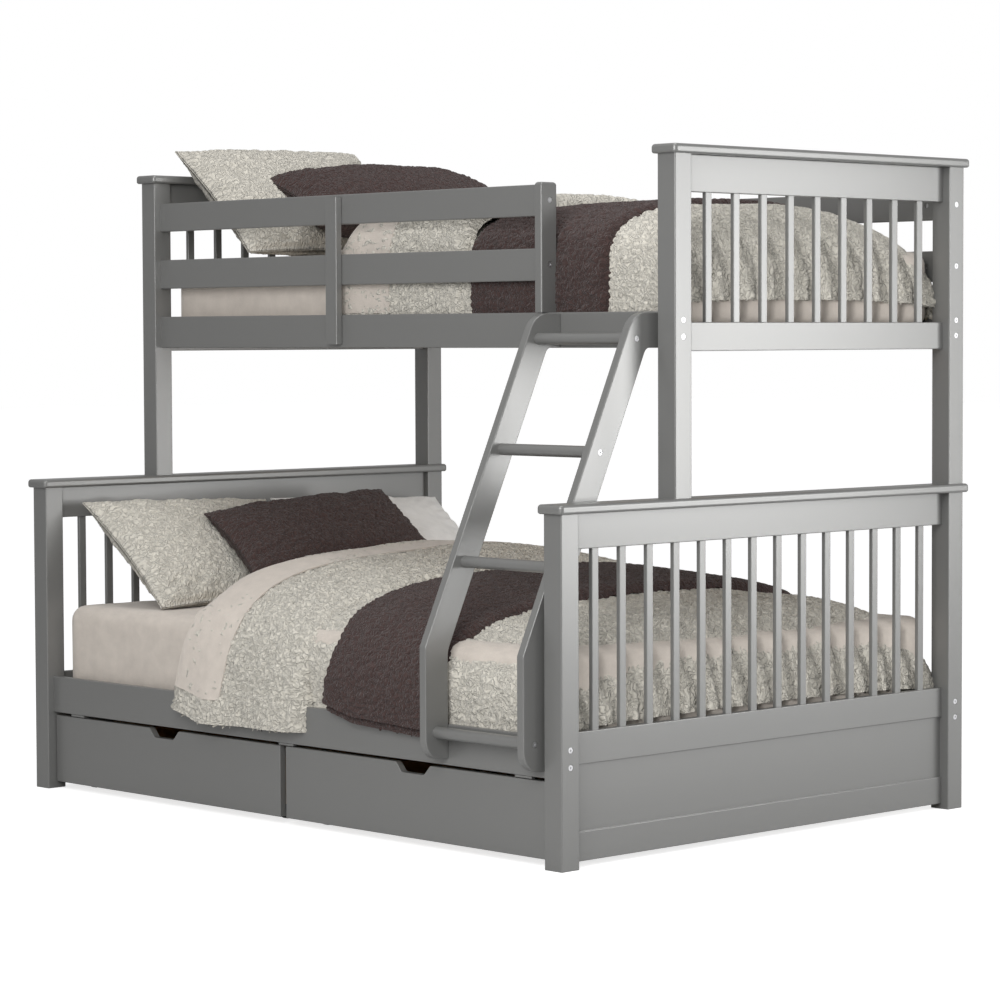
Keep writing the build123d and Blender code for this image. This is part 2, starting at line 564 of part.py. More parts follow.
BEAM_HEIGHT, BEAM_THICK, LEG = 42.0, 30.0, 40.0
BEAM_END_GAP = 20.0
LEG_X = (-500.0, 0.0, 500.0)
with BuildPart() as beam:
    box_between((-END_INNER + BEAM_END_GAP, END_INNER - BEAM_END_GAP),
                (FULL_MIDDLE_Y - BEAM_THICK / 2, FULL_MIDDLE_Y + BEAM_THICK / 2),
                (FULL_CLEAT_TOP - BEAM_HEIGHT, FULL_CLEAT_TOP))
with BuildPart() as legs:
    for x in LEG_X:
        box_between((x - LEG / 2, x + LEG / 2), (FULL_MIDDLE_Y - LEG / 2, FULL_MIDDLE_Y + LEG / 2),
                    (0, FULL_CLEAT_TOP - BEAM_HEIGHT))
    round_long_edges(legs, Axis.Z, 2)
centre_support = Compound(children=[*beam.part.solids(), *legs.part.solids()])
centre_support.label = "centre_beam_and_legs"
export_step(centre_support, "parts/centre_beam_and_legs.step")

# ---------------------------------------------------------------- fasteners
HEAD_SEAT = BOLT_RECESS_DEPTH       # a head's underside lies this far below the wood's face
SHANK_IN_HEAD = 0.8                 # the shank starts this far inside the head
RUNG_BOLT_LENGTH = 18.0             # of a bolt beyond the ladder's board or the side rail
MOUNT_BOLT_LENGTH = 30.0
PIN_PLAY = 1.0                      # a dowel pin is this much shorter than its two holes


def socket_bolt(grip):
    """A round-headed bolt along +Z with a hexagon socket; the wood's face is at z = 0."""
    with BuildPart() as bolt:
        with BuildSketch(Plane.XY.offset(HEAD_SEAT - BOLT_HEAD_THICK)):
            Circle(BOLT_HEAD_DIA / 2)
            RegularPolygon(HEX_KEY / 2, 6, major_radius=False, mode=Mode.SUBTRACT)
        extrude(amount=BOLT_HEAD_THICK)
        with BuildSketch(Plane.XY.offset(HEAD_SEAT - SHANK_IN_HEAD)):
            Circle(BOLT_DIA / 2)
        extrude(amount=grip - HEAD_SEAT + SHANK_IN_HEAD)
    return bolt


def seats(places):
    """Locations whose Z axis points into the wood, from pairs of a point and a direction."""
    return [Plane(origin=point, z_dir=direction).location for point, direction in places]


def barrel_nut(x, y, z):
    """A steel cross nut with its thread hole along X."""
    with Locations(Location((x, y, z), (90, 0, 0))):
        Cylinder(NUT_DIA / 2, NUT_LENGTH)
    drill_along_x(x, y, z, BOLT_HOLE_DIA, NUT_DIA)


POST_GRIP = POST + BOLT_REACH
UPRIGHT_GRIP = UPRIGHT_X[1] - UPRIGHT_X[0] + BOLT_REACH
# Each row: a rail's Y, its bolts' heights, the bolt heads' X at the foot end, and the grip there.
BOLT_ROWS = (
    (FULL_RAIL_FRONT_Y, FULL_BOLT_HEIGHTS, END_FACE, POST_GRIP),
    (RAIL_BACK_Y, FULL_BOLT_HEIGHTS, END_FACE, POST_GRIP),
    (TWIN_RAIL_FRONT_Y, TWIN_BOLT_HEIGHTS, END_FACE, POST_GRIP),
    (RAIL_BACK_Y, TWIN_BOLT_HEIGHTS + GUARD_BOLT_HEIGHTS, END_FACE, POST_GRIP),
    (TWIN_RAIL_FRONT_Y, GUARD_BOLT_HEIGHTS, UPRIGHT_X[1], UPRIGHT_GRIP),
)

INTO_FOOT, INTO_HEAD, INTO_LADDER = (-1, 0, 0), (1, 0, 0), (0, -1, 0)
post_places = [((-END_FACE, y, z), INTO_HEAD) for y, heights, _, _ in BOLT_ROWS for z in heights]
post_places += [((END_FACE, y, z), INTO_FOOT)
                for y, heights, foot_x, _ in BOLT_ROWS if foot_x == END_FACE for z in heights]
upright_places = [((UPRIGHT_X[1], TWIN_RAIL_FRONT_Y, z), INTO_FOOT) for z in GUARD_BOLT_HEIGHTS]
rung_places = [((STRINGER_LEFT_X[0], y, z), INTO_HEAD) for y, z in RUNGS]
rung_places += [((STRINGER_RIGHT_X[1], y, z), INTO_FOOT) for y, z in RUNGS]
mount_places = [((x, TWIN_INNER_Y[0], LADDER_TOP_BOLT_Z), INTO_LADDER) for x in LADDER_BOLT_X]
mount_places += [((x, FULL_INNER_Y[0], LADDER_FOOT_BOLT_Z), INTO_LADDER) for x in LADDER_BOLT_X]
BOLT_GROUPS = (
    (POST_GRIP, post_places),
    (UPRIGHT_GRIP, upright_places),
    (STRINGER_THICK + RUNG_BOLT_LENGTH, rung_places),
    (SIDE_RAIL_THICK + MOUNT_BOLT_LENGTH, mount_places),
)
with BuildPart() as bolts:
    for grip, places in BOLT_GROUPS:
        with Locations(*seats(places)):
            add(socket_bolt(grip).part)
save(bolts, "frame_bolts")

with BuildPart() as nuts:
    for y, heights, foot_x, foot_grip in BOLT_ROWS:
        for z in heights:
            barrel_nut(foot_x - foot_grip + BOLT_REACH - NUT_INSET, y, z)
            barrel_nut(-END_INNER + NUT_INSET, y, z)
save(nuts, "barrel_nuts")

with BuildPart() as pins:
    for x in (-PIN_X, PIN_X):
        for y in (PIN_FRONT_Y, PIN_BACK_Y):
            with Locations((x, y, TWIN_POST_FOOT + (PIN_ABOVE - PIN_BELOW) / 2)):
                Cylinder(PIN_DIA / 2, PIN_ABOVE + PIN_BELOW - PIN_PLAY)
save(pins, "dowel_pins")

# ---------------------------------------------------------------- mattresses
FULL_MATTRESS_Z = (FULL_CLEAT_TOP + SUPPORT_THICK + 0.5, 498.0)
TWIN_MATTRESS_Z = (TWIN_CLEAT_TOP + SUPPORT_THICK + 0.5, 1430.0)
MATTRESS_HALF_LENGTH = 946.0
FULL_MATTRESS_GAP, TWIN_MATTRESS_GAP = 12.0, 6.0
TWIN_BED_Y = (TWIN_FRONT + UPRIGHT_DEPTH, TWIN_INNER_Y[1])     # clear of the guard's upright


def mattress(inner_y, gap, z_range, top_radius):
    """A plain rounded block between the side rails."""
    with BuildPart() as block:
        box_between((-MATTRESS_HALF_LENGTH, MATTRESS_HALF_LENGTH),
                    (inner_y[0] + gap, inner_y[1] - gap), z_range)
        fillet(block.edges().filter_by(Axis.Z), 45)
        fillet(block.faces().sort_by(Axis.Z)[-1].edges(), top_radius)
        fillet(block.faces().sort_by(Axis.Z)[0].edges(), 15)
    return block


save(mattress(FULL_INNER_Y, FULL_MATTRESS_GAP, FULL_MATTRESS_Z, 38), "full_mattress")
save(mattress(TWIN_BED_Y, TWIN_MATTRESS_GAP, TWIN_MATTRESS_Z, 30), "twin_mattress")

# ---------------------------------------------------------------- covers
COVER_GAP = 1.0              # clear of the mattress and of the rails
FLAP = 12.0                  # thickness of a cover where it hangs over the front rail


def cover(x_range, front_line, back_line, crown, mattress_y, mattress_top, corner):
    """A cover over a mattress: a crowned top with sides that come down to the rails.

    front_line and back_line are the points of the outer side faces, from the hem up.
    """
    middle = sum(mattress_y) / 2
    front, back = mattress_y[0] - COVER_GAP, mattress_y[1] + COVER_GAP
    top = mattress_top + COVER_GAP
    hem_front, hem_back = front_line[0], back_line[0]
    inner_hem = (hem_front[0] + FLAP, hem_front[1])
    bite = corner * (2 - sqrt(2))
    outline = [hem_front, *front_line[1:], (middle, crown), *reversed(back_line[1:]), hem_back,
               (back, hem_back[1]), (back, top - bite), (back - bite, top),
               (front + bite, top), (front, top - bite)]
    if hem_front[1] < FULL_RAIL_HIGH:
        outline += [(front, FULL_RAIL_HIGH + COVER_GAP), (inner_hem[0], FULL_RAIL_HIGH + COVER_GAP),
                    inner_hem]
    else:
        outline += [(front, hem_front[1])]
    with BuildPart() as sheet:
        with BuildSketch(Plane.YZ.offset(x_range[0])):
            Polygon(*outline, align=None)
        extrude(amount=x_range[1] - x_range[0])
    return sheet


FULL_MATTRESS_Y = (FULL_INNER_Y[0] + FULL_MATTRESS_GAP, FULL_INNER_Y[1] - FULL_MATTRESS_GAP)
TWIN_MATTRESS_Y = (TWIN_BED_Y[0] + TWIN_MATTRESS_GAP, TWIN_BED_Y[1] - TWIN_MATTRESS_GAP)
FLAP_Y = FULL_RAIL_FRONT_Y - SIDE_RAIL_THICK / 2 - COVER_GAP - FLAP


def full_cover(x_range, hem, crown):
    """A cover of the lower bed; with a low hem it hangs outside the front rail."""
    tucked = FULL_RAIL_HIGH + COVER_GAP
    if hem < tucked:
        front = ((FLAP_Y, hem), (FLAP_Y, 330), (-682, 440), (-648, 520),
                 (-530, crown - 48), (-300, crown - 10))
    else:
        front = ((-680, hem), (-681, 400), (-676, 470), (-650, 520),
                 (-550, crown - 24), (-300, crown - 6))
    back = ((704, tucked), (705.5, 400), (703, 470), (685, 522), (570, crown - 30), (330, crown - 8))
    return cover(x_range, front, back, crown, FULL_MATTRESS_Y, FULL_MATTRESS_Z[1], 38)


def twin_cover(x_range, crown):
    """A cover of the upper bed, tucked inside the guard rails."""
    hem = TWIN_RAIL_HIGH + COVER_GAP
    front = ((-274.5, hem), (-274.5, 1400), (-273.5, 1440), (-250, 1475),
             (-140, crown - 24), (20, crown - 6))
    back = ((705.5, hem), (705.5, 1400), (704.5, 1440), (680, 1475),
            (566, crown - 24), (400, crown - 6))
    return cover(x_range, front, back, crown, TWIN_MATTRESS_Y, TWIN_MATTRESS_Z[1], 30)


save(full_cover((-430, 148), 236, 640), "full_folded_quilt")
save(full_cover((150, 584), 242, 625), "full_throw")
save(full_cover((586, 946), FULL_RAIL_HIGH + COVER_GAP, 580), "full_comforter")
save(twin_cover((-360, 278), 1570), "twin_folded_quilt")
save(twin_cover((280, 728), 1545), "twin_throw")
save(twin_cover((730, 946), 1520), "twin_comforter")

# ---------------------------------------------------------------- pillows
def pillow(y_range, foot, head, below, above):
    """A cushion leaning on the headboard, from its foot (x, z) to its head (x, z).

    below and above are how far its two faces bulge from that line.
    """
    lean = atan2(head[1] - foot[1], foot[0] - head[0])
    middle = ((foot[0] + head[0]) / 2, (foot[1] + head[1]) / 2)
    under = (middle[0] - below * sin(lean), middle[1] - below * cos(lean))
    over = (middle[0] + above * sin(lean), middle[1] + above * cos(lean))
    with BuildPart() as cushion:
        with BuildSketch(Plane.XZ.offset(-y_range[0])):
            with BuildLine():
                ThreePointArc(foot, under, head)
                ThreePointArc(head, over, foot)
            make_face()
        extrude(amount=y_range[0] - y_range[1])
    return cushion


save(pillow((-605, 50), (-552, 503), (-930, 765), 46, 46), "full_pillow_cream")
save(pillow((64, 640), (-552, 503), (-930, 765), 46, 46), "full_pillow_white")
save(pillow((-275, 490), (-499, 526), (-877, 788), 2, 80), "full_pillow_brown")
save(pillow((-264, 400), (-622, 1436), (-946, 1722), 46, 46), "twin_pillow_cream")
save(pillow((-70, 650), (-571, 1456), (-871, 1720), 2, 70), "twin_pillow_brown")
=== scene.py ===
"""A twin-over-full bunk bed, made up with mattresses, pillows and quilted covers, in a plain studio.

Lengths are metres.  X runs along the bed to its foot, -Y is the ladder side and Z is up.
The bed's boards come from the frame; everything soft is built here.
"""

import math

import bpy
import numpy as np
from bpy.props import FloatProperty, FloatVectorProperty, PointerProperty
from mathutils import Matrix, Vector


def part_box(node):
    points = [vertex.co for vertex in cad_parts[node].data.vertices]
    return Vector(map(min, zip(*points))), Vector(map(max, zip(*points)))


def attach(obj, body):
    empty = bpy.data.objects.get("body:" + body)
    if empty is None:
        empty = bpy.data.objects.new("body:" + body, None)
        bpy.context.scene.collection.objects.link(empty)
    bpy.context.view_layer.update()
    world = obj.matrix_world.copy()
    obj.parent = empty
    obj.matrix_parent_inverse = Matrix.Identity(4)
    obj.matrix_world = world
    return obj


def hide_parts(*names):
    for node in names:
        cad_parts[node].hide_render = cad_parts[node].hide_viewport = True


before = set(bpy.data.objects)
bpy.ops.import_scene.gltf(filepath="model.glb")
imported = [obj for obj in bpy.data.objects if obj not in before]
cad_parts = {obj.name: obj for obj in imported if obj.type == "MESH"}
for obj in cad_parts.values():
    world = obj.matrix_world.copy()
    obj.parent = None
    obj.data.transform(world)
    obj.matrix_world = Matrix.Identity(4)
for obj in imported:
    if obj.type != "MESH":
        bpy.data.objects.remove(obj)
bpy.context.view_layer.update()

bl_info = {
    "name": "Bunk Bed",
    "version": (1, 0, 0),
    "blender": (4, 5, 0),
    "location": "View3D > Sidebar > Bunk Bed",
    "description": "Finishes, bedding and studio for a twin-over-full bunk bed",
    "category": "Object",
}

CLOTH_STEP = 0.0042          # spacing of the points on a cover
PILLOW_STEP = 0.004          # and on a pillow
MATTRESS_STEP = 0.014        # and on a mattress
SHEET_THICKNESS = 0.003
NOISE_PERIOD = 256           # cells before the noise repeats
ROUNDING_PASSES = 40         # how far a path's corners are worn round
LOWER_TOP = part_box("full_mattress")[1].z
UPPER_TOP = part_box("twin_mattress")[1].z
LOWER_BACK_HEM = 0.30
UPPER_HEM = 1.250
FOOT_BEND = 0.74             # where the comforters begin to turn down at the foot
FOOT_LAST_ROW = 0.962        # their last row of points
FOOT_FACE = 0.9625           # where their turned-down face stands upright


# ---------------------------------------------------------------- settings
def colour(name, description, default):
    """A colour setting."""
    return FloatVectorProperty(name=name, description=description, default=default, size=3,
                               subtype="COLOR", min=0, max=1)


def length(name, description, default):
    """A length setting in metres."""
    return FloatProperty(name=name, description=description, default=default, unit="LENGTH")


def power(name, description, default):
    """A light's power in watts."""
    return FloatProperty(name=name, description=description, default=default, unit="POWER")


class BedFinish(bpy.types.PropertyGroup):
    """Colours and gloss of the hard parts."""
    paint: colour("Paint", "Grey lacquer of every visible board", (0.20, 0.20, 0.195))
    pine: colour("Pine", "Bare wood of slats, cleats and drawer boxes", (0.60, 0.42, 0.24))
    gloss: FloatProperty(name="Lacquer roughness", description="0 is a mirror", default=0.34, min=0, max=1)
    grain_depth: length("Grain depth", "Relief of the wood grain under the lacquer", 0.00012)


class BedLinen(bpy.types.PropertyGroup):
    """Colours of the cloth and the size of its crinkled quilting."""
    cream: colour("Cream", "Quilts and the cream pillows", (0.63, 0.60, 0.53))
    sheet: colour("Sheet", "Fitted sheets and the turned-down sheet", (0.62, 0.56, 0.50))
    brown: colour("Brown", "Throws and brown pillows", (0.060, 0.036, 0.033))
    white: colour("White", "The plain white pillow", (0.80, 0.79, 0.77))
    crinkle: length("Crinkle", "Distance between creases of the quilting", 0.0165)
    relief: length("Relief", "Depth of the quilting", 0.0070)


class BedStudio(bpy.types.PropertyGroup):
    """Camera and lights."""
    lens: FloatProperty(name="Lens", description="Focal length", default=117.4, unit="CAMERA")
    key: power("Key light", "Power of the light beyond the foot", 90)
    fill: power("Fill light", "Power of the light overhead; the one in front has more", 55)
    sky: FloatProperty(name="Surround", description="Light of the surround", default=0.42, min=0)


# ---------------------------------------------------------------- noise and paths
def lattice(seed):
    """A repeatable table of unit gradients for one seed."""
    angles = np.random.default_rng(seed).uniform(0, 2 * math.pi, (NOISE_PERIOD, NOISE_PERIOD))
    return np.cos(angles), np.sin(angles)


def gradient_noise(u, v, seed=1):
    """Smooth noise of two arrays, about -0.7 to 0.7, one bump per unit."""
    gx, gy = lattice(seed)
    iu, iv = np.floor(u).astype(int), np.floor(v).astype(int)
    fu, fv = u - iu, v - iv

    def fade(f):
        return f * f * f * (f * (f * 6 - 15) + 10)

    ease_u, ease_v = fade(fu), fade(fv)

    def corner(du, dv):
        a, b = (iu + du) % NOISE_PERIOD, (iv + dv) % NOISE_PERIOD
        return gx[a, b] * (fu - du) + gy[a, b] * (fv - dv)

    low = corner(0, 0) * (1 - ease_u) + corner(1, 0) * ease_u
    high = corner(0, 1) * (1 - ease_u) + corner(1, 1) * ease_u
    return low * (1 - ease_v) + high * ease_v


def crinkle(u, v, size, seed, stretch=1.7):
    """Quilting height, 0 in the stitched creases and 1 on the puffs between them."""
    drift = 0.9 * gradient_noise(u / size / 3.1, v / size / 3.1, seed + 7)
    a = gradient_noise(u / size / stretch + drift, v / size + drift, seed)
    b = gradient_noise(u / size / stretch * 1.9, v / size * 1.9 + drift, seed + 1)
    return 1 - np.exp(-np.abs(a + 0.45 * b) * 5.5)


def ease(t):
    """A smooth step from 0 to 1 as t goes from 0 to 1."""
    t = np.clip(t, 0, 1)
    return t * t * (3 - 2 * t)


def rounded_path(points, count):
    """Points evenly spaced on a path whose corners are worn round."""
    points = np.array(points, float)

    def even(p, n):
        along = np.concatenate([[0], np.cumsum(np.linalg.norm(np.diff(p, axis=0), axis=1))])
        at = np.linspace(0, along[-1], n)
        return np.stack([np.interp(at, along, p[:, k]) for k in range(p.shape[1])], 1)

    dense = even(points, 240)
    for _ in range(ROUNDING_PASSES):
        dense[1:-1] += 0.5 * ((dense[:-2] + dense[2:]) / 2 - dense[1:-1])
    return even(dense, count)


# ---------------------------------------------------------------- meshes
def normals_of(grid):
    """Unit normals of a grid of points, rows along X and columns along the path."""
    a, b = np.gradient(grid, axis=0), np.gradient(grid, axis=1)
    n = np.cross(a, b)
    return n / np.maximum(np.linalg.norm(n, axis=2, keepdims=True), 1e-9)


def quads(rows, columns, start, flip=False):
    """Faces of a grid of points numbered row by row."""
    i, j = np.meshgrid(np.arange(rows - 1), np.arange(columns - 1), indexing="ij")
    a = start + i * columns + j
    ring = [a, a + columns, a + columns + 1, a + 1]
    return np.stack(ring[::-1] if flip else ring, -1).reshape(-1, 4)


def grid_border(rows, columns):
    """Numbers of the points round the edge of a grid, in order."""
    return np.concatenate([
        np.arange(columns), np.arange(1, rows) * columns + columns - 1,
        (rows - 1) * columns + np.arange(columns - 2, -1, -1), np.arange(rows - 2, 0, -1) * columns])


def add_mesh(name, points, faces, uv):
    """A smooth-shaded object from arrays, with UVs in metres of cloth."""
    mesh = bpy.data.meshes.new(name)
    mesh.vertices.add(len(points))
    mesh.vertices.foreach_set("co", np.asarray(points, np.float32).ravel())
    mesh.loops.add(faces.size)
    mesh.loops.foreach_set("vertex_index", faces.astype(np.int32).ravel())
    mesh.polygons.add(len(faces))
    mesh.polygons.foreach_set("loop_start", np.arange(0, faces.size, 4, dtype=np.int32))
    mesh.update(calc_edges=True)
    mesh.polygons.foreach_set("use_smooth", np.ones(len(mesh.polygons), bool))
    layer = mesh.uv_layers.new(name="cloth")
    corner = np.zeros(len(mesh.loops), int)
    mesh.loops.foreach_get("vertex_index", corner)
    layer.data.foreach_set("uv", np.asarray(uv, np.float32)[corner].ravel())
    piece = bpy.data.objects.new(name, mesh)
    bpy.context.scene.collection.objects.link(piece)
    return piece


def cloth_slab(name, outer, thickness, uv):
    """A closed piece of cloth: its outer surface, an inner one and rounded edges all round."""
    rows, columns = outer.shape[:2]
    n = normals_of(outer)
    inner = outer - n * thickness
    count = rows * columns
    border = grid_border(rows, columns)
    flat_outer, flat_inner = outer.reshape(-1, 3), inner.reshape(-1, 3)
    centre = (flat_outer[border] + flat_inner[border]) / 2
    along = np.roll(centre, -1, 0) - np.roll(centre, 1, 0)
    out = np.cross(along, n.reshape(-1, 3)[border])
    out /= np.maximum(np.linalg.norm(out, axis=1, keepdims=True), 1e-9)
    half = thickness / 2
    layers = [border]
    points, at = [flat_outer, flat_inner], 2 * count
    across = n.reshape(-1, 3)[border]
    for angle in (45, 90, 135):
        c, s = math.cos(math.radians(angle)), math.sin(math.radians(angle))
        points.append(centre + across * half * c + out * half * s)
        layers.append(at + np.arange(len(border)))
        at += len(border)
    layers.append(count + border)
    faces = [quads(rows, columns, 0), quads(rows, columns, count, flip=True)]
    for low, high in zip(layers[:-1], layers[1:]):
        faces.append(np.stack([low, high, np.roll(high, -1), np.roll(low, -1)], 1))
    flat_uv = uv.reshape(-1, 2)
    all_uv = np.concatenate([flat_uv, flat_uv] + [flat_uv[border]] * 3)
    return add_mesh(name, np.concatenate(points), np.concatenate(faces), all_uv)


def cloth_lengths(grid):
    """How far each point lies along the cloth, in metres, as an array of pairs."""
    across = np.linalg.norm(np.diff(grid, axis=0), axis=2).mean(1)
    along = np.linalg.norm(np.diff(grid, axis=1), axis=2).mean(0)
    u, v = np.concatenate([[0], np.cumsum(across)]), np.concatenate([[0], np.cumsum(along)])
    return np.stack(np.meshgrid(u, v, indexing="ij"), -1)


# ---------------------------------------------------------------- shader groups
def new_group(name, inputs, outputs):
    """An empty shader group with float or vector sockets, and its input and output nodes."""
    group = bpy.data.node_groups.new(name, "ShaderNodeTree")
    for label, kind, default in inputs:
        socket = group.interface.new_socket(label, in_out="INPUT", socket_type=kind)
        if default is not None:
            socket.default_value = default
    for label, kind in outputs:
        group.interface.new_socket(label, in_out="OUTPUT", socket_type=kind)
    return group, group.nodes.new("NodeGroupInput"), group.nodes.new("NodeGroupOutput")


def maths(tree, operation, a, b=None, c=None, clamp=False):
    """A Math node; a, b and c are sockets or numbers."""
    node = tree.nodes.new("ShaderNodeMath")
    node.operation, node.use_clamp = operation, clamp
    for socket, value in zip(node.inputs, (a, b, c)):
        if isinstance(value, bpy.types.NodeSocket):
            tree.links.new(value, socket)
        elif value is not None:
            socket.default_value = value
    return node.outputs[0]


def noise_node(tree, vector, scale, detail=2.0, roughness=0.5, distortion=0.0):
    """A Noise Texture's value; scale may be a socket."""
    node = tree.nodes.new("ShaderNodeTexNoise")
    tree.links.new(vector, node.inputs["Vector"])
    if isinstance(scale, bpy.types.NodeSocket):
        tree.links.new(scale, node.inputs["Scale"])
    else:
        node.inputs["Scale"].default_value = scale
    node.inputs["Detail"].default_value = detail
    node.inputs["Roughness"].default_value = roughness
    node.inputs["Distortion"].default_value = distortion
    return node.outputs["Fac"]


def board_grain_group():
    """Long fine grain and slow cloudiness of a lacquered or planed board."""
    group, source, sink = new_group(
        "board_grain", [("Vector", "NodeSocketVector", None)],
        [("Grain", "NodeSocketFloat"), ("Cloud", "NodeSocketFloat")])
    fine = noise_node(group, source.outputs["Vector"], 190.0, 5.0, 0.6, 0.4)
    broad = noise_node(group, source.outputs["Vector"], 38.0, 3.0, 0.5, 1.2)
    grain = maths(group, "MULTIPLY_ADD", fine, 0.7)
    scaled = maths(group, "MULTIPLY", broad, 0.3)
    total = maths(group, "ADD", grain, scaled)
    group.links.new(total, sink.inputs["Grain"])
    group.links.new(noise_node(group, source.outputs["Vector"], 5.0, 2.0), sink.inputs["Cloud"])
    return group


def woven_cloth_group():
    """Plain weave, with slubs and faint soiling, on UVs in metres."""
    group, source, sink = new_group(
        "woven_cloth", [("Vector", "NodeSocketVector", None), ("Threads", "NodeSocketFloat", 700.0)],
        [("Weave", "NodeSocketFloat"), ("Slub", "NodeSocketFloat"), ("Fuzz", "NodeSocketFloat")])
    split = group.nodes.new("ShaderNodeSeparateXYZ")
    group.links.new(source.outputs["Vector"], split.inputs[0])
    waves = []
    for axis in (0, 1):
        angle = maths(group, "MULTIPLY", split.outputs[axis], source.outputs["Threads"])
        waves.append(maths(group, "SINE", maths(group, "MULTIPLY", angle, 6.2832)))
    group.links.new(maths(group, "MULTIPLY", waves[0], waves[1]), sink.inputs["Weave"])
    group.links.new(noise_node(group, source.outputs["Vector"], 24.0, 4.0, 0.6), sink.inputs["Slub"])
    group.links.new(noise_node(group, source.outputs["Vector"], 420.0, 3.0, 0.7), sink.inputs["Fuzz"])
    return group


def crease_group():
    """Fine stitched creases that wander over quilted cloth."""
    group, source, sink = new_group(
        "quilt_creases", [("Vector", "NodeSocketVector", None), ("Scale", "NodeSocketFloat", 60.0)],
        [("Puff", "NodeSocketFloat")])
    wander = noise_node(group, source.outputs["Vector"], source.outputs["Scale"], 1.0, 0.5, 0.8)
    away = maths(group, "ABSOLUTE", maths(group, "SUBTRACT", wander, 0.5))
    group.links.new(maths(group, "MULTIPLY", away, 9.0, clamp=True), sink.inputs["Puff"])
    return group


def shared_group(name, build):
    """A shader group, built the first time that it is asked for."""
    return bpy.data.node_groups.get(name) or build()


# ---------------------------------------------------------------- materials
def start_material(name, base, roughness):
    """A material with a Principled shader and its constant settings."""
    material = bpy.data.materials.new(name)
    material.use_nodes = True
    shader = material.node_tree.nodes["Principled BSDF"]
    shader.inputs["Base Color"].default_value = (*base, 1)
    shader.inputs["Roughness"].default_value = roughness
    return material, material.node_tree, shader


def place_group(tree, name, build, vector, **values):
    """Puts a shared group in a material and sets its inputs."""
    node = tree.nodes.new("ShaderNodeGroup")
    node.node_tree = shared_group(name, build)
    tree.links.new(vector, node.inputs["Vector"])
    for label, value in values.items():
        node.inputs[label].default_value = value
    return node


def ramp(tree, factor, stops):
    """A colour ramp from (place, colour) pairs."""
    node = tree.nodes.new("ShaderNodeValToRGB")
    tree.links.new(factor, node.inputs[0])
    for index, (place, tone) in enumerate(stops):
        element = node.color_ramp.elements[index] if index < 2 else node.color_ramp.elements.new(place)
        element.position, element.color = place, (*tone, 1)
    return node.outputs[0]


def bump(tree, shader, height, distance, strength=1.0):
    """Feeds a height to the shader's normal."""
    node = tree.nodes.new("ShaderNodeBump")
    node.inputs["Distance"].default_value = distance
    node.inputs["Strength"].default_value = strength
    tree.links.new(height, node.inputs["Height"])
    tree.links.new(node.outputs[0], shader.inputs["Normal"])


def shade(tone, factor):
    """A colour made lighter or darker."""
    return tuple(min(1.0, c * factor) for c in tone)


GRAIN_STRETCH = {"x": (0.045, 1, 1), "y": (1, 0.045, 1), "z": (1, 1, 0.045)}


def grain_vector(tree, direction):
    """Object coordinates drawn out along a board's length."""
    place = tree.nodes.new("ShaderNodeTexCoord")
    mapping = tree.nodes.new("ShaderNodeMapping")
    mapping.inputs["Scale"].default_value = GRAIN_STRETCH[direction]
    tree.links.new(place.outputs["Object"], mapping.inputs["Vector"])
    return mapping.outputs[0]


def lacquer(direction):
    """Satin grey lacquer over wood whose grain runs in one direction."""
    finish = bpy.context.scene.bed_finish
    material, tree, shader = start_material(f"grey_lacquer_{direction}", finish.paint, finish.gloss)
    grain = place_group(tree, "board_grain", board_grain_group, grain_vector(tree, direction))
    paint = tuple(finish.paint)
    tone = ramp(tree, grain.outputs["Grain"], [(0.30, shade(paint, 0.93)), (0.72, shade(paint, 1.05))])
    tree.links.new(tone, shader.inputs["Base Color"])
    rough = maths(tree, "MULTIPLY_ADD", grain.outputs["Cloud"], 0.14, finish.gloss - 0.07)
    tree.links.new(rough, shader.inputs["Roughness"])
    shader.inputs["Metallic"].default_value = 0.35
    shader.inputs["Coat Weight"].default_value = 0.18
    shader.inputs["Coat Roughness"].default_value = 0.22
    bump(tree, shader, grain.outputs["Grain"], finish.grain_depth)
    return material


def planed_pine(direction):
    """Bare pine with darker growth lines."""
    finish = bpy.context.scene.bed_finish
    material, tree, shader = start_material(f"planed_pine_{direction}", finish.pine, 0.62)
    grain = place_group(tree, "board_grain", board_grain_group, grain_vector(tree, direction))
    pine = tuple(finish.pine)
    stops = [(0.34, shade(pine, 0.62)), (0.52, pine), (0.7, shade(pine, 1.15))]
    tone = ramp(tree, grain.outputs["Grain"], stops)
    tree.links.new(tone, shader.inputs["Base Color"])
    bump(tree, shader, grain.outputs["Grain"], 0.0003)
    return material


def steel():
    """Zinc-plated steel of bolts and casters."""
    material, tree, shader = start_material("zinc_steel", (0.52, 0.52, 0.53), 0.34)
    shader.inputs["Metallic"].default_value = 1.0
    place = tree.nodes.new("ShaderNodeTexCoord")
    speck = noise_node(tree, place.outputs["Object"], 900.0, 3.0)
    tree.links.new(ramp(tree, speck, [(0.35, (0.40, 0.40, 0.41)), (0.7, (0.58, 0.58, 0.59))]),
                   shader.inputs["Base Color"])
    bump(tree, shader, speck, 0.00005)
    return material


def moulded_plastic():
    """Black wheels, finely textured by their mould."""
    material, tree, shader = start_material("black_plastic", (0.022, 0.022, 0.022), 0.5)
    place = tree.nodes.new("ShaderNodeTexCoord")
    speck = noise_node(tree, place.outputs["Object"], 1400.0, 2.0)
    tree.links.new(ramp(tree, speck, [(0.3, (0.016, 0.016, 0.016)), (0.7, (0.03, 0.03, 0.03))]),
                   shader.inputs["Base Color"])
    bump(tree, shader, speck, 0.0001)
    return material


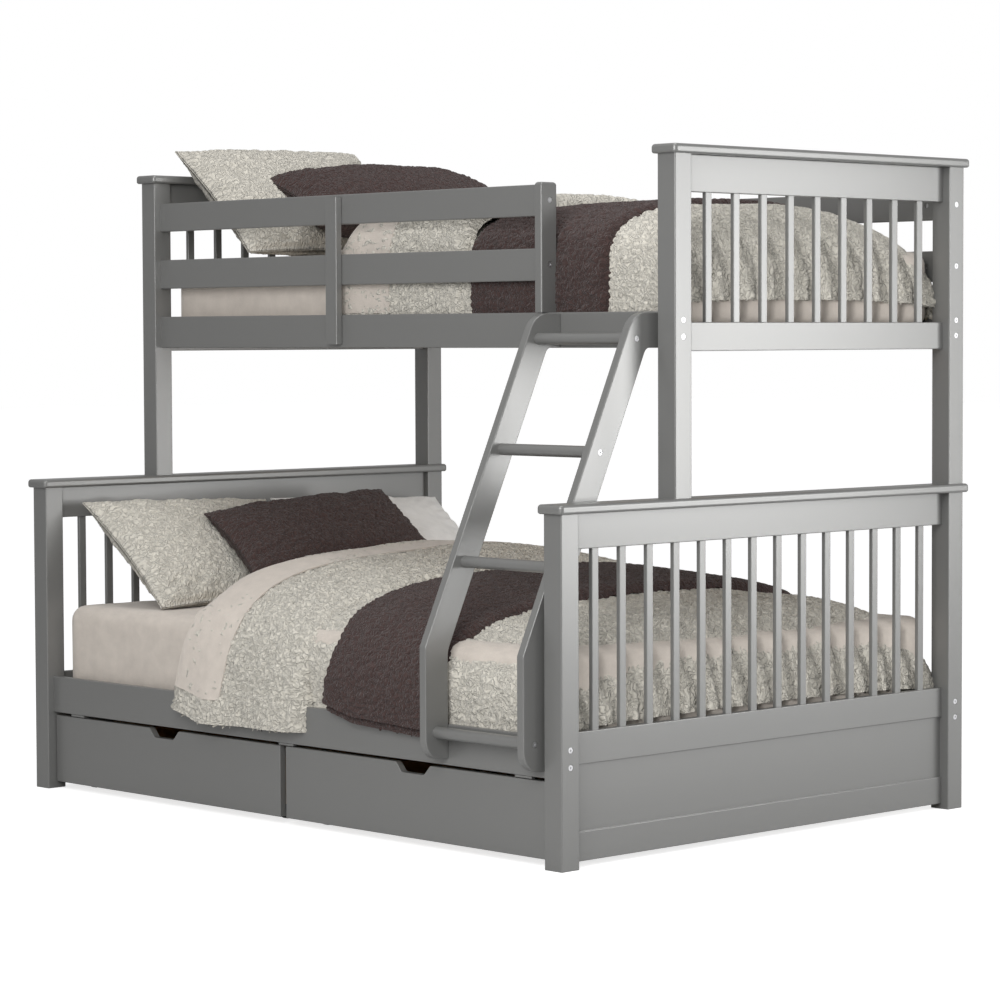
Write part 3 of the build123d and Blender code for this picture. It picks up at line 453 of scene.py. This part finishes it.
def woven(name, tone, creased, sheen=0.25):
    """Cotton: a weave with slubs, and stitched creases where it is quilted, with painted shade darkening
    the colour in the creases.
    """
    material, tree, shader = start_material(name, tone, 0.92)
    place = tree.nodes.new("ShaderNodeTexCoord")
    cloth = place_group(tree, "woven_cloth", woven_cloth_group, place.outputs["UV"], Threads=620.0)
    nap = maths(tree, "MULTIPLY", cloth.outputs["Fuzz"], 0.5)
    height = maths(tree, "MULTIPLY_ADD", cloth.outputs["Weave"], 0.12, nap)
    soiling = maths(tree, "MULTIPLY", cloth.outputs["Fuzz"], 0.4)
    mixed = maths(tree, "MULTIPLY_ADD", cloth.outputs["Slub"], 0.6, soiling)
    if creased:
        puff = place_group(tree, "quilt_creases", crease_group, place.outputs["UV"], Scale=80.0)
        height = maths(tree, "ADD", height, maths(tree, "MULTIPLY", puff.outputs["Puff"], 3.5))
        # Painted shade: the colour darkens to 0.65 of its tone in the stitched creases and lightens a
        # little on the puffs
        painted_crease_shade = maths(tree, "MULTIPLY_ADD", puff.outputs["Puff"], 0.45, 0.65)
        mixed = maths(tree, "MULTIPLY", mixed, painted_crease_shade)
    tree.links.new(ramp(tree, mixed, [(0.30, shade(tone, 0.86)), (0.68, shade(tone, 1.07))]),
                   shader.inputs["Base Color"])
    shader.inputs["Sheen Weight"].default_value = sheen
    shader.inputs["Sheen Roughness"].default_value = 0.5
    shader.inputs["Specular IOR Level"].default_value = 0.25
    bump(tree, shader, height, 0.0009)
    return material


def matte_floor():
    """The studio's pale floor."""
    material, tree, shader = start_material("studio_floor", (0.9, 0.9, 0.9), 0.9)
    place = tree.nodes.new("ShaderNodeTexCoord")
    cloud = noise_node(tree, place.outputs["Object"], 0.7, 2.0)
    tree.links.new(ramp(tree, cloud, [(0.3, (0.60, 0.60, 0.60)), (0.7, (0.63, 0.63, 0.63))]),
                   shader.inputs["Base Color"])
    shader.inputs["Emission Color"].default_value = (1, 1, 1, 1)
    seen = tree.nodes.new("ShaderNodeLightPath").outputs["Is Camera Ray"]
    tree.links.new(maths(tree, "MULTIPLY", seen, 0.75), shader.inputs["Emission Strength"])
    return material


def material_named(name):
    """A finish, made the first time that it is asked for."""
    linen = bpy.context.scene.bed_linen
    makers = {
        "zinc_steel": steel,
        "black_plastic": moulded_plastic,
        "studio_floor": matte_floor,
        "cream_quilting": lambda: woven(name, tuple(linen.cream), True),
        "brown_quilting": lambda: woven(name, tuple(linen.brown), True, 0.12),
        "sheet_cotton": lambda: woven(name, tuple(linen.sheet), False),
        "white_cotton": lambda: woven(name, tuple(linen.white), False),
    }
    for direction in GRAIN_STRETCH:
        makers[f"grey_lacquer_{direction}"] = lambda d=direction: lacquer(d)
        makers[f"planed_pine_{direction}"] = lambda d=direction: planed_pine(d)
    return bpy.data.materials.get(name) or makers[name]()


def dress(piece, material, body):
    """Gives a new piece its material and its body."""
    piece.data.materials.clear()
    piece.data.materials.append(material_named(material))
    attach(piece, body)


# ---------------------------------------------------------------- hard parts
def board_direction(node):
    """The way a node's boards run."""
    if "rungs" in node or "side_rail" in node or node.startswith(("guard_rails", "drawer_rail")):
        return "x"
    if node.startswith("drawer") or node in ("slat_cleats", "centre_beam_and_legs"):
        return "x"
    if node.endswith(("_rails", "_cap", "_panel", "support_slats")):
        return "y"
    return "z"


def finish_of(node):
    """The material of a carried-over node."""
    if node in ("frame_bolts", "barrel_nuts") or node.endswith("caster_frames"):
        return "zinc_steel"
    if "wheels" in node:
        return "black_plastic"
    bare = node.endswith(("_box", "cleats", "support_slats", "legs", "pins"))
    wood = "planed_pine" if bare else "grey_lacquer"
    return f"{wood}_{board_direction(node)}"


class BED_OT_finish_boards(bpy.types.Operator):
    """Lacquer, wood, steel and plastic on every board, bolt and caster"""
    bl_idname = "bed.finish_boards"
    bl_label = "Finish boards"

    def execute(self, context):
        for name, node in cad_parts.items():
            if soft_node(name):
                continue
            material = material_named(finish_of(name))
            node.data.materials.clear()
            node.data.materials.append(material)
        return {"FINISHED"}


def soft_node(name):
    """Whether a node is cloth or padding."""
    return name.endswith(("mattress", "throw", "comforter", "quilt")) or "pillow" in name


# ---------------------------------------------------------------- mattresses
class BED_OT_mattresses(bpy.types.Operator):
    """Two mattresses in fitted sheets"""
    bl_idname = "bed.mattresses"
    bl_label = "Mattresses"

    def execute(self, context):
        mattress("full_mattress", 0.045, 11)
        mattress("twin_mattress", 0.040, 12)
        return {"FINISHED"}


def mattress(node, radius, seed):
    """A rounded block in a fitted sheet with faint dents and wrinkles."""
    low, high = (np.array(c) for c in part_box(node))
    counts = np.maximum(((high - low) / MATTRESS_STEP).astype(int), 2)
    half, centre = (high - low) / 2, (high + low) / 2
    patches, faces, uv, at = [], [], [], 0
    for axis in range(3):
        a, b = [k for k in range(3) if k != axis]
        for side in (-1, 1):
            spread = np.linspace(-1, 1, counts[a]), np.linspace(-1, 1, counts[b])
            ga, gb = np.meshgrid(*spread, indexing="ij")
            p = np.zeros((counts[a], counts[b], 3))
            p[..., a], p[..., b], p[..., axis] = ga * half[a], gb * half[b], side * half[axis]
            flip = (side > 0) == (axis == 1)
            faces.append(quads(counts[a], counts[b], at, flip))
            uv.append(np.stack([p[..., a], p[..., b]], -1).reshape(-1, 2))
            patches.append(p.reshape(-1, 3))
            at += counts[a] * counts[b]
    p = np.concatenate(patches)
    core = np.clip(p, -(half - radius), half - radius)
    away = p - core
    n = away / np.maximum(np.linalg.norm(away, axis=1, keepdims=True), 1e-9)
    p = core + n * radius
    side_pull = 0.004 * gradient_noise(p[:, 0] / 0.16 + 3 * p[:, 2], p[:, 1] / 0.16 + 9, seed)
    rumple = 0.003 * gradient_noise((p[:, 0] + p[:, 1]) / 0.09, p[:, 2] / 0.30 + p[:, 0] / 0.5, seed + 3)
    p = p + n * (side_pull + rumple - 0.004)[:, None] + centre
    piece = add_mesh(node + "_in_sheet", p, np.concatenate(faces), np.concatenate(uv))
    weld = piece.modifiers.new("join faces", "WELD")
    weld.merge_threshold = 0.0005
    dress(piece, "sheet_cotton", "bed")
    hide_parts(node)


# ---------------------------------------------------------------- covers
def shaped(stations, x_places, columns):
    """A grid of points from (x, path) stations, blended along X."""
    paths = np.array([rounded_path(path, columns) for _, path in stations])
    at = [x for x, _ in stations]
    grid = np.zeros((len(x_places), columns, 3))
    grid[..., 0] = np.array(x_places)[:, None]
    for k in range(2):
        for j in range(columns):
            grid[:, j, k + 1] = np.interp(x_places, at, paths[:, j, k])
    return grid


def lower_path(crest, hem_front, hem_y, lift=0.0):
    """Side-to-side path of a cover on the lower bed, from the front hem over the top to the back."""
    return [(hem_y, hem_front), (hem_y + 0.001, 0.335), (hem_y * 0.35 - 0.445 - lift * 0.65, 0.395),
            (-0.664 - lift, 0.448), (-0.612, crest - 0.082), (-0.505, crest - 0.045),
            (-0.390, crest - 0.023), (-0.22, crest - 0.006), (0.03, crest), (0.30, crest - 0.008),
            (0.45, crest - 0.024), (0.56, crest - 0.050), (0.65, crest - 0.095),
            (0.692 + lift, 0.43), (0.700 + lift, 0.36), (0.700 + lift, LOWER_BACK_HEM)]


def puffed(grid, depth, size, seed, stretch=1.7):
    """Pushes quilting out of a grid along its normals."""
    uv = cloth_lengths(grid)
    height = crinkle(uv[..., 0], uv[..., 1], size, seed, stretch)
    return grid + normals_of(grid) * (depth * height)[..., None], uv


def waves(grid, depth, size_u, size_v, seed):
    """Slow swells of soft filling."""
    uv = cloth_lengths(grid)
    swell = gradient_noise(uv[..., 0] / size_u, uv[..., 1] / size_v, seed)
    return grid + normals_of(grid) * (depth * swell)[..., None]


def spaced(low, high, step=CLOTH_STEP):
    """Evenly spaced places from low to high."""
    return np.linspace(low, high, max(2, int((high - low) / step)))


def settle_over_foot(grid, start, end, floor, power=2.6):
    """Brings the foot of a cover down over the mattress's end."""
    t = np.clip((grid[..., 0] - start) / (end - start), 0, 1)
    share = (1 - t ** power) ** (1 / power)
    grid[..., 2] = floor + (grid[..., 2] - floor) * share
    return grid


class BED_OT_lower_covers(bpy.types.Operator):
    """Comforter, throw and folded quilt of the lower bed"""
    bl_idname = "bed.lower_covers"
    bl_label = "Lower covers"

    def execute(self, context):
        linen = context.scene.bed_linen
        lower_comforter(linen)
        lower_throw(linen)
        lower_quilt(linen)
        return {"FINISHED"}


def fold_down(grid, left, width, floor):
    """Brings a folded quilt's open edge down to the mattress in a round fold."""
    t = 1 - np.clip((grid[..., 0] - left) / width, 0, 1)
    share = (1 - t ** 2.2) ** (1 / 2.2)
    above = np.maximum(grid[..., 2] - floor, 0)
    grid[..., 2] -= above * (1 - share)
    return grid


def foot_rows(start):
    """X places of a comforter, crowded together where it turns down at the foot."""
    reach = FOOT_LAST_ROW - FOOT_BEND
    turn = FOOT_LAST_ROW - reach * (1 - np.sin(np.linspace(0, math.pi / 2, 60)))
    return np.concatenate([spaced(start, FOOT_BEND, 0.006)[:-1], turn])


def gathered_foot(grid, top, fade, seed):
    """Upright folds where a comforter hangs down at the foot."""
    low = ease((top - grid[..., 2]) / fade) * ease((grid[..., 0] - 0.86) / 0.08)
    fold = np.abs(gradient_noise(grid[..., 1] / 0.055, grid[..., 2] / 0.9, seed))
    grid[..., 0] -= 0.022 * low * fold
    return grid


def rolled_edge(grid, end, roll, fullness=1.0):
    """Rounds a cover's edge down over the last stretch before its end."""
    away = np.clip((end - grid[..., 0]) / roll, 0, 1)
    sink = fullness * roll * (1 - np.sqrt(1 - (1 - away) ** 2))
    return grid - normals_of(grid) * sink[..., None]


def lower_comforter(linen):
    """The cream comforter under the throw, puffed out at the foot and tucked behind the rail."""
    start = 0.02
    stations = [(start, lower_path(0.596, 0.285, -0.660)),
                (0.45, lower_path(0.583, 0.285, -0.660)),
                (0.60, lower_path(0.566, 0.290, -0.665, 0.004)),
                (0.96, lower_path(0.560, 0.290, -0.665, 0.004))]
    grid = shaped(stations, foot_rows(start), 400)
    grid = waves(grid, 0.012, 0.22, 0.26, 21)
    grid = settle_over_foot(grid, FOOT_BEND, FOOT_FACE, 0.285)
    grid = gathered_foot(grid, 0.50, 0.16, 22)
    quilted, uv = puffed(grid, linen.relief * 1.15, linen.crinkle, 23)
    piece = cloth_slab("lower_comforter", quilted, 0.010, uv)
    dress(piece, "cream_quilting", "bed")
    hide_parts("full_comforter")


def lower_throw(linen):
    """The brown throw across the lower bed, doubled at its hem, with a rolled edge at the foot."""
    def layer(name, left, right, hem, hem_y, seed, lift):
        stations = [(left, lower_path(0.617 + lift, hem + 0.004, hem_y, 0.010 + lift)),
                    (0.30, lower_path(0.612 + lift, hem - 0.020, hem_y, 0.010 + lift)),
                    (right, lower_path(0.590 + lift, hem - 0.034, hem_y, 0.010 + lift))]
        grid = shaped(stations, spaced(left, right), 440)
        grid = waves(grid, 0.006, 0.20, 0.30, 31)
        grid[..., 0] += 0.004 * gradient_noise(grid[..., 1] / 0.05, grid[..., 2] / 0.05, seed)
        grid = rolled_edge(grid, right, 0.024)
        quilted, uv = puffed(grid, linen.relief * 0.8, linen.crinkle, seed + 1, 2.4)
        piece = cloth_slab(name, quilted, 0.008, uv)
        dress(piece, "brown_quilting", "bed")
        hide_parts("full_throw")

    layer("lower_throw", 0.192, 0.588, 0.318, -0.712, 31, 0.004)
    layer("lower_throw_under_layer", 0.196, 0.560, 0.300, -0.702, 35, -0.006)


def lower_quilt(linen):
    """The cream quilt folded back on itself, and the sheet turned down over it."""
    left, right = -0.432, 0.094

    def path(crest, hem, out):
        return [(-0.706 - out, hem), (-0.704, 0.335), (-0.686, 0.41), (-0.660, 0.468),
                (-0.610, crest - 0.120), (-0.520, crest - 0.075),
                (-0.400, crest - 0.045), (-0.16, crest - 0.016), (0.10, crest),
                (0.30, crest - 0.004), (0.45, crest - 0.030), (0.56, crest - 0.065), (0.65, crest - 0.130),
                (0.700, 0.43), (0.704, 0.36), (0.704, 0.305)]

    stations = [(left, path(0.655, 0.262, 0.014)), (-0.30, path(0.652, 0.236, 0.018)),
                (-0.05, path(0.642, 0.240, 0.006)), (right, path(0.628, 0.240, 0.004))]
    rows = spaced(left, right)
    grid = shaped(stations, rows, 430)
    grid = waves(grid, 0.010, 0.22, 0.26, 41)
    flare = 0.5 + 0.5 * np.sin(grid[..., 0] * 2 * math.pi / 0.24 + 2.2)
    grid[..., 1] -= 0.012 * flare * ease((0.37 - grid[..., 2]) / 0.13) * (grid[..., 1] < -0.6)
    grid = fold_down(rolled_edge(grid, right, 0.036, 1.1), left, 0.075, LOWER_TOP + 0.004)
    grid[..., 0] += 0.045 * ease((-0.45 - grid[..., 1]) / 0.20) * ease((0.0 - grid[..., 0]) / 0.40)
    quilted, uv = puffed(grid, linen.relief * 1.2, linen.crinkle, 42)
    piece = cloth_slab("lower_folded_quilt", quilted, 0.012, uv)
    dress(piece, "cream_quilting", "bed")
    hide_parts("full_folded_quilt")

    band = grid[: int(len(rows) * 0.395)]
    start = next(j for j in range(band.shape[1]) if band[0, j, 2] > 0.318)
    band = band[:, start:-14] + normals_of(band)[:, start:-14] * 0.0075
    band = waves(band, 0.004, 0.10, 0.30, 43)
    turned = cloth_slab("lower_turned_sheet", band, SHEET_THICKNESS, cloth_lengths(band))
    dress(turned, "sheet_cotton", "bed")


class BED_OT_upper_covers(bpy.types.Operator):
    """Comforter, throw and folded quilt of the upper bed"""
    bl_idname = "bed.upper_covers"
    bl_label = "Upper covers"

    def execute(self, context):
        linen = context.scene.bed_linen
        upper_comforter(linen)
        upper_throw(linen)
        upper_quilt(linen)
        return {"FINISHED"}


def upper_path(crest, lift=0.0):
    """Side-to-side path of a cover on the upper bed, inside its guard rails."""
    return [(-0.274 - lift, UPPER_HEM), (-0.2745 - lift, 1.37), (-0.273 - lift, 1.425),
            (-0.250 - lift, crest - 0.075), (-0.19, crest - 0.040),
            (-0.08, crest - 0.014), (0.08, crest - 0.002), (0.25, crest),
            (0.42, crest - 0.012), (0.54, crest - 0.034), (0.63, crest - 0.066), (0.690, crest - 0.125),
            (0.7035 + lift, 1.40), (0.704 + lift, 1.34), (0.704 + lift, UPPER_HEM)]


def upper_comforter(linen):
    """The cream comforter of the upper bed, puffed at the foot."""
    start = 0.14
    stations = [(start, upper_path(1.515, -0.009)), (0.71, upper_path(1.530, -0.009)),
                (0.79, upper_path(1.540)), (0.96, upper_path(1.545))]
    grid = shaped(stations, foot_rows(start), 330)
    grid = waves(grid, 0.012, 0.20, 0.24, 51)
    grid = settle_over_foot(grid, FOOT_BEND, FOOT_FACE, 1.262)
    grid = gathered_foot(grid, 1.46, 0.14, 52)
    quilted, uv = puffed(grid, linen.relief * 1.15, linen.crinkle, 53)
    piece = cloth_slab("upper_comforter", quilted, 0.008, uv)
    dress(piece, "cream_quilting", "bed")
    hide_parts("twin_comforter")


def upper_throw(linen):
    """The brown throw across the upper bed."""
    left, right = 0.272, 0.738
    stations = [(left, upper_path(1.545, 0.006)), (right, upper_path(1.552, 0.006))]
    grid = shaped(stations, spaced(left, right), 340)
    grid = waves(grid, 0.008, 0.20, 0.30, 61)
    grid = rolled_edge(grid, right, 0.022)
    quilted, uv = puffed(grid, linen.relief, linen.crinkle * 1.05, 62, 2.4)
    piece = cloth_slab("upper_throw", quilted, 0.007, uv)
    dress(piece, "brown_quilting", "bed")
    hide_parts("twin_throw")


def upper_quilt(linen):
    """The cream quilt folded back on the upper bed, and its turned-down sheet."""
    left, right = -0.227, 0.230
    stations = [(left, upper_path(1.582, 0.004)), (right, upper_path(1.578, 0.004))]
    rows = spaced(left, right)
    grid = shaped(stations, rows, 340)
    grid = waves(grid, 0.009, 0.20, 0.24, 71)
    grid = fold_down(rolled_edge(grid, right, 0.032), left, 0.060, UPPER_TOP + 0.004)
    quilted, uv = puffed(grid, linen.relief * 1.2, linen.crinkle, 72)
    piece = cloth_slab("upper_folded_quilt", quilted, 0.008, uv)
    dress(piece, "cream_quilting", "bed")
    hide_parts("twin_folded_quilt")
    band = grid[: int(len(rows) * 0.42)]
    band = band[:, 6:-6] + normals_of(band)[:, 6:-6] * 0.0065
    turned = cloth_slab("upper_turned_sheet", band, SHEET_THICKNESS, cloth_lengths(band))
    dress(turned, "sheet_cotton", "bed")


# ---------------------------------------------------------------- pillows
def pillow(name, node, corners, half_thick, material, seed, quilting=True):
    """A stuffed pillow between four corners: foot near, foot far, head far and head near."""
    linen = bpy.context.scene.bed_linen
    corners = np.array(corners)
    width = np.linalg.norm(corners[1] - corners[0])
    height = np.linalg.norm(corners[3] - corners[0])
    nu, nv = int(width / PILLOW_STEP), int(height / PILLOW_STEP)
    u, v = np.meshgrid(np.linspace(-1, 1, nu), np.linspace(-1, 1, nv), indexing="ij")
    side_u = u * (1 - 0.06 * (1 - v ** 2) * np.abs(u) ** 3)
    side_v = v * (1 - 0.08 * (1 - u ** 2) * np.abs(v) ** 3)
    a, b = (side_u[..., None] + 1) / 2, (side_v[..., None] + 1) / 2
    flat = (corners[0] * (1 - a) + corners[1] * a) * (1 - b) + (corners[3] * (1 - a) + corners[2] * a) * b
    flat_u, flat_v = side_u * width / 2, side_v * height / 2
    axis_n = np.cross(corners[1] - corners[0], corners[3] - corners[0])
    axis_n = axis_n / np.linalg.norm(axis_n) * np.sign(axis_n[2])
    body = np.clip((1 - np.abs(u) ** 2.6) * (1 - np.abs(v) ** 2.6), 0, 1) ** 0.52
    corner_pull = 1 - 0.35 * (np.abs(u * v)) ** 2
    rim = np.minimum(1 - np.abs(u), 1 - np.abs(v))
    sides = []
    for side in (1, -1):
        thick = half_thick * body * corner_pull
        radial = gradient_noise(np.arctan2(v, u) * 7 + side, np.hypot(u, v) * 1.3, seed + side)
        thick += 0.010 * radial * ease((np.hypot(u, v) - 0.55) / 0.5) * ease(rim / 0.08)
        thick += 0.006 * gradient_noise(u * 3.1, v * 2.3, seed + 5) * ease(rim / 0.15)
        if quilting:
            puffs = crinkle(flat_u, flat_v, linen.crinkle * 0.9, seed + 9, 1.4)
            thick += linen.relief * 0.95 * puffs * ease(rim / 0.05)
        thick = np.maximum(thick, 0) + 0.0025
        sides.append(flat + side * thick[..., None] * axis_n)
    count = nu * nv
    border = grid_border(nu, nv)
    faces = [quads(nu, nv, 0), quads(nu, nv, count, flip=True),
             np.stack([border, count + border, count + np.roll(border, -1), np.roll(border, -1)], 1)]
    uv = np.stack([flat_u, flat_v], -1).reshape(-1, 2)
    points = np.concatenate(sides).reshape(-1, 3)
    piece = add_mesh(name, points, np.concatenate(faces), np.concatenate([uv, uv]))
    dress(piece, material, "bed")
    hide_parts(node)


class BED_OT_pillows(bpy.types.Operator):
    """Five pillows against the headboards"""
    bl_idname = "bed.pillows"
    bl_label = "Pillows"

    def execute(self, context):
        pillow("lower_cream_pillow", "full_pillow_cream",
               ((-0.60, -0.590, 0.500), (-0.60, 0.030, 0.500),
                (-0.92, 0.030, 0.755), (-0.92, -0.608, 0.770)),
               0.058, "cream_quilting", 81)
        pillow("lower_white_pillow", "full_pillow_white",
               ((-0.58, 0.050, 0.500), (-0.60, 0.640, 0.510),
                (-0.90, 0.665, 0.738), (-0.92, 0.050, 0.757)),
               0.058, "white_cotton", 82, quilting=False)
        pillow("lower_brown_pillow", "full_pillow_brown",
               ((-0.500, -0.357, 0.573), (-0.500, 0.330, 0.590),
                (-0.790, 0.355, 0.775), (-0.760, -0.318, 0.734)),
               0.056, "brown_quilting", 83)
        pillow("upper_cream_pillow", "twin_pillow_cream",
               ((-0.65, -0.245, 1.445), (-0.65, 0.410, 1.445),
                (-0.95, 0.400, 1.742), (-0.95, -0.258, 1.728)),
               0.066, "cream_quilting", 84)
        pillow("upper_brown_pillow", "twin_pillow_brown",
               ((-0.50, -0.090, 1.520), (-0.48, 0.670, 1.520),
                (-0.77, 0.690, 1.655), (-0.78, -0.075, 1.650)),
               0.088, "brown_quilting", 85)
        return {"FINISHED"}


# ---------------------------------------------------------------- studio
CAMERA_PLACE = (6.216, -5.874, 1.214)
CAMERA_TURN = (87.13, 0.22, 46.26)
SENSOR_WIDTH = 36            # millimetres
FLOOR_REACH = 40.0
FLOOR_GAP = 0.0005           # how far the floor lies under the feet
FRONT_LIGHT_SHARE = 2.5      # power of the light in front, as a share of the one overhead


class BED_OT_studio(bpy.types.Operator):
    """Floor, lights and camera"""
    bl_idname = "bed.studio"
    bl_label = "Studio"

    def execute(self, context):
        studio = context.scene.bed_studio
        build_floor()
        build_lights(studio)
        camera_data = bpy.data.cameras.new("camera")
        camera_data.lens, camera_data.sensor_width = studio.lens, SENSOR_WIDTH
        camera = bpy.data.objects.new("camera", camera_data)
        camera.location = CAMERA_PLACE
        camera.rotation_euler = [math.radians(a) for a in CAMERA_TURN]
        context.scene.collection.objects.link(camera)
        context.scene.camera = camera
        context.scene.view_settings.view_transform = "Standard"
        return {"FINISHED"}


def build_floor():
    """A wide floor just under the bed's feet."""
    mesh = bpy.data.meshes.new("floor")
    corners = [(FLOOR_REACH * x, FLOOR_REACH * y, 0) for x, y in ((-1, -1), (1, -1), (1, 1), (-1, 1))]
    mesh.from_pydata(corners, [], [(0, 1, 2, 3)])
    floor = bpy.data.objects.new("floor", mesh)
    floor.location.z = -FLOOR_GAP
    floor.data.materials.append(material_named("studio_floor"))
    bpy.context.scene.collection.objects.link(floor)


def area_light(name, place, target, size, power):
    """A square soft light aimed at a point."""
    data = bpy.data.lights.new(name, "AREA")
    data.energy, data.size = power, size
    light = bpy.data.objects.new(name, data)
    light.location = place
    light.rotation_euler = (Vector(target) - Vector(place)).to_track_quat("-Z", "Y").to_euler()
    bpy.context.scene.collection.objects.link(light)


def build_lights(studio):
    """A surround that the camera sees white, and soft lights beyond the foot, in front and overhead."""
    world = bpy.data.worlds.new("surround")
    world.use_nodes = True
    tree = world.node_tree
    background = tree.nodes["Background"]
    background.inputs["Color"].default_value = (1, 1, 1, 1)
    seen = tree.nodes.new("ShaderNodeLightPath").outputs["Is Camera Ray"]
    strength = maths(tree, "MULTIPLY_ADD", seen, 1.0 - studio.sky, studio.sky)
    tree.links.new(strength, background.inputs["Strength"])
    bpy.context.scene.world = world
    area_light("key", (4.0, 2.6, 1.25), (0.9, 0.2, 1.0), 2.0, studio.key)
    area_light("fill", (2.6, -4.0, 2.4), (0.5, 0, 0.9), 2.4, studio.fill * FRONT_LIGHT_SHARE)
    area_light("top", (0.9, -0.4, 4.4), (0.3, 0, 0.6), 2.4, studio.fill)


# ---------------------------------------------------------------- panel and registration
STEPS = ("finish_boards", "mattresses", "lower_covers", "upper_covers", "pillows", "studio")


class BED_PT_panel(bpy.types.Panel):
    """The bed's steps and settings"""
    bl_idname = "BED_PT_panel"
    bl_label = "Bunk Bed"
    bl_space_type = "VIEW_3D"
    bl_region_type = "UI"
    bl_category = "Bunk Bed"

    def draw(self, context):
        for step in STEPS:
            self.layout.operator(f"bed.{step}")
        for group in (context.scene.bed_finish, context.scene.bed_linen, context.scene.bed_studio):
            for name in group.__annotations__:
                self.layout.prop(group, name)


GROUPS = {"bed_finish": BedFinish, "bed_linen": BedLinen, "bed_studio": BedStudio}
CLASSES = (*GROUPS.values(), BED_OT_finish_boards, BED_OT_mattresses, BED_OT_lower_covers,
           BED_OT_upper_covers, BED_OT_pillows, BED_OT_studio, BED_PT_panel)


def register():
    """Makes the operators, panel and settings known to Blender."""
    for entry in CLASSES:
        bpy.utils.register_class(entry)
    for name, group in GROUPS.items():
        setattr(bpy.types.Scene, name, PointerProperty(type=group))


def unregister():
    """Takes them away again."""
    for name in GROUPS:
        delattr(bpy.types.Scene, name)
    for entry in reversed(CLASSES):
        bpy.utils.unregister_class(entry)


def main():
    """Builds everything."""
    register()
    for step in STEPS:
        getattr(bpy.ops.bed, step)()


if __name__ == "__main__":
    main()
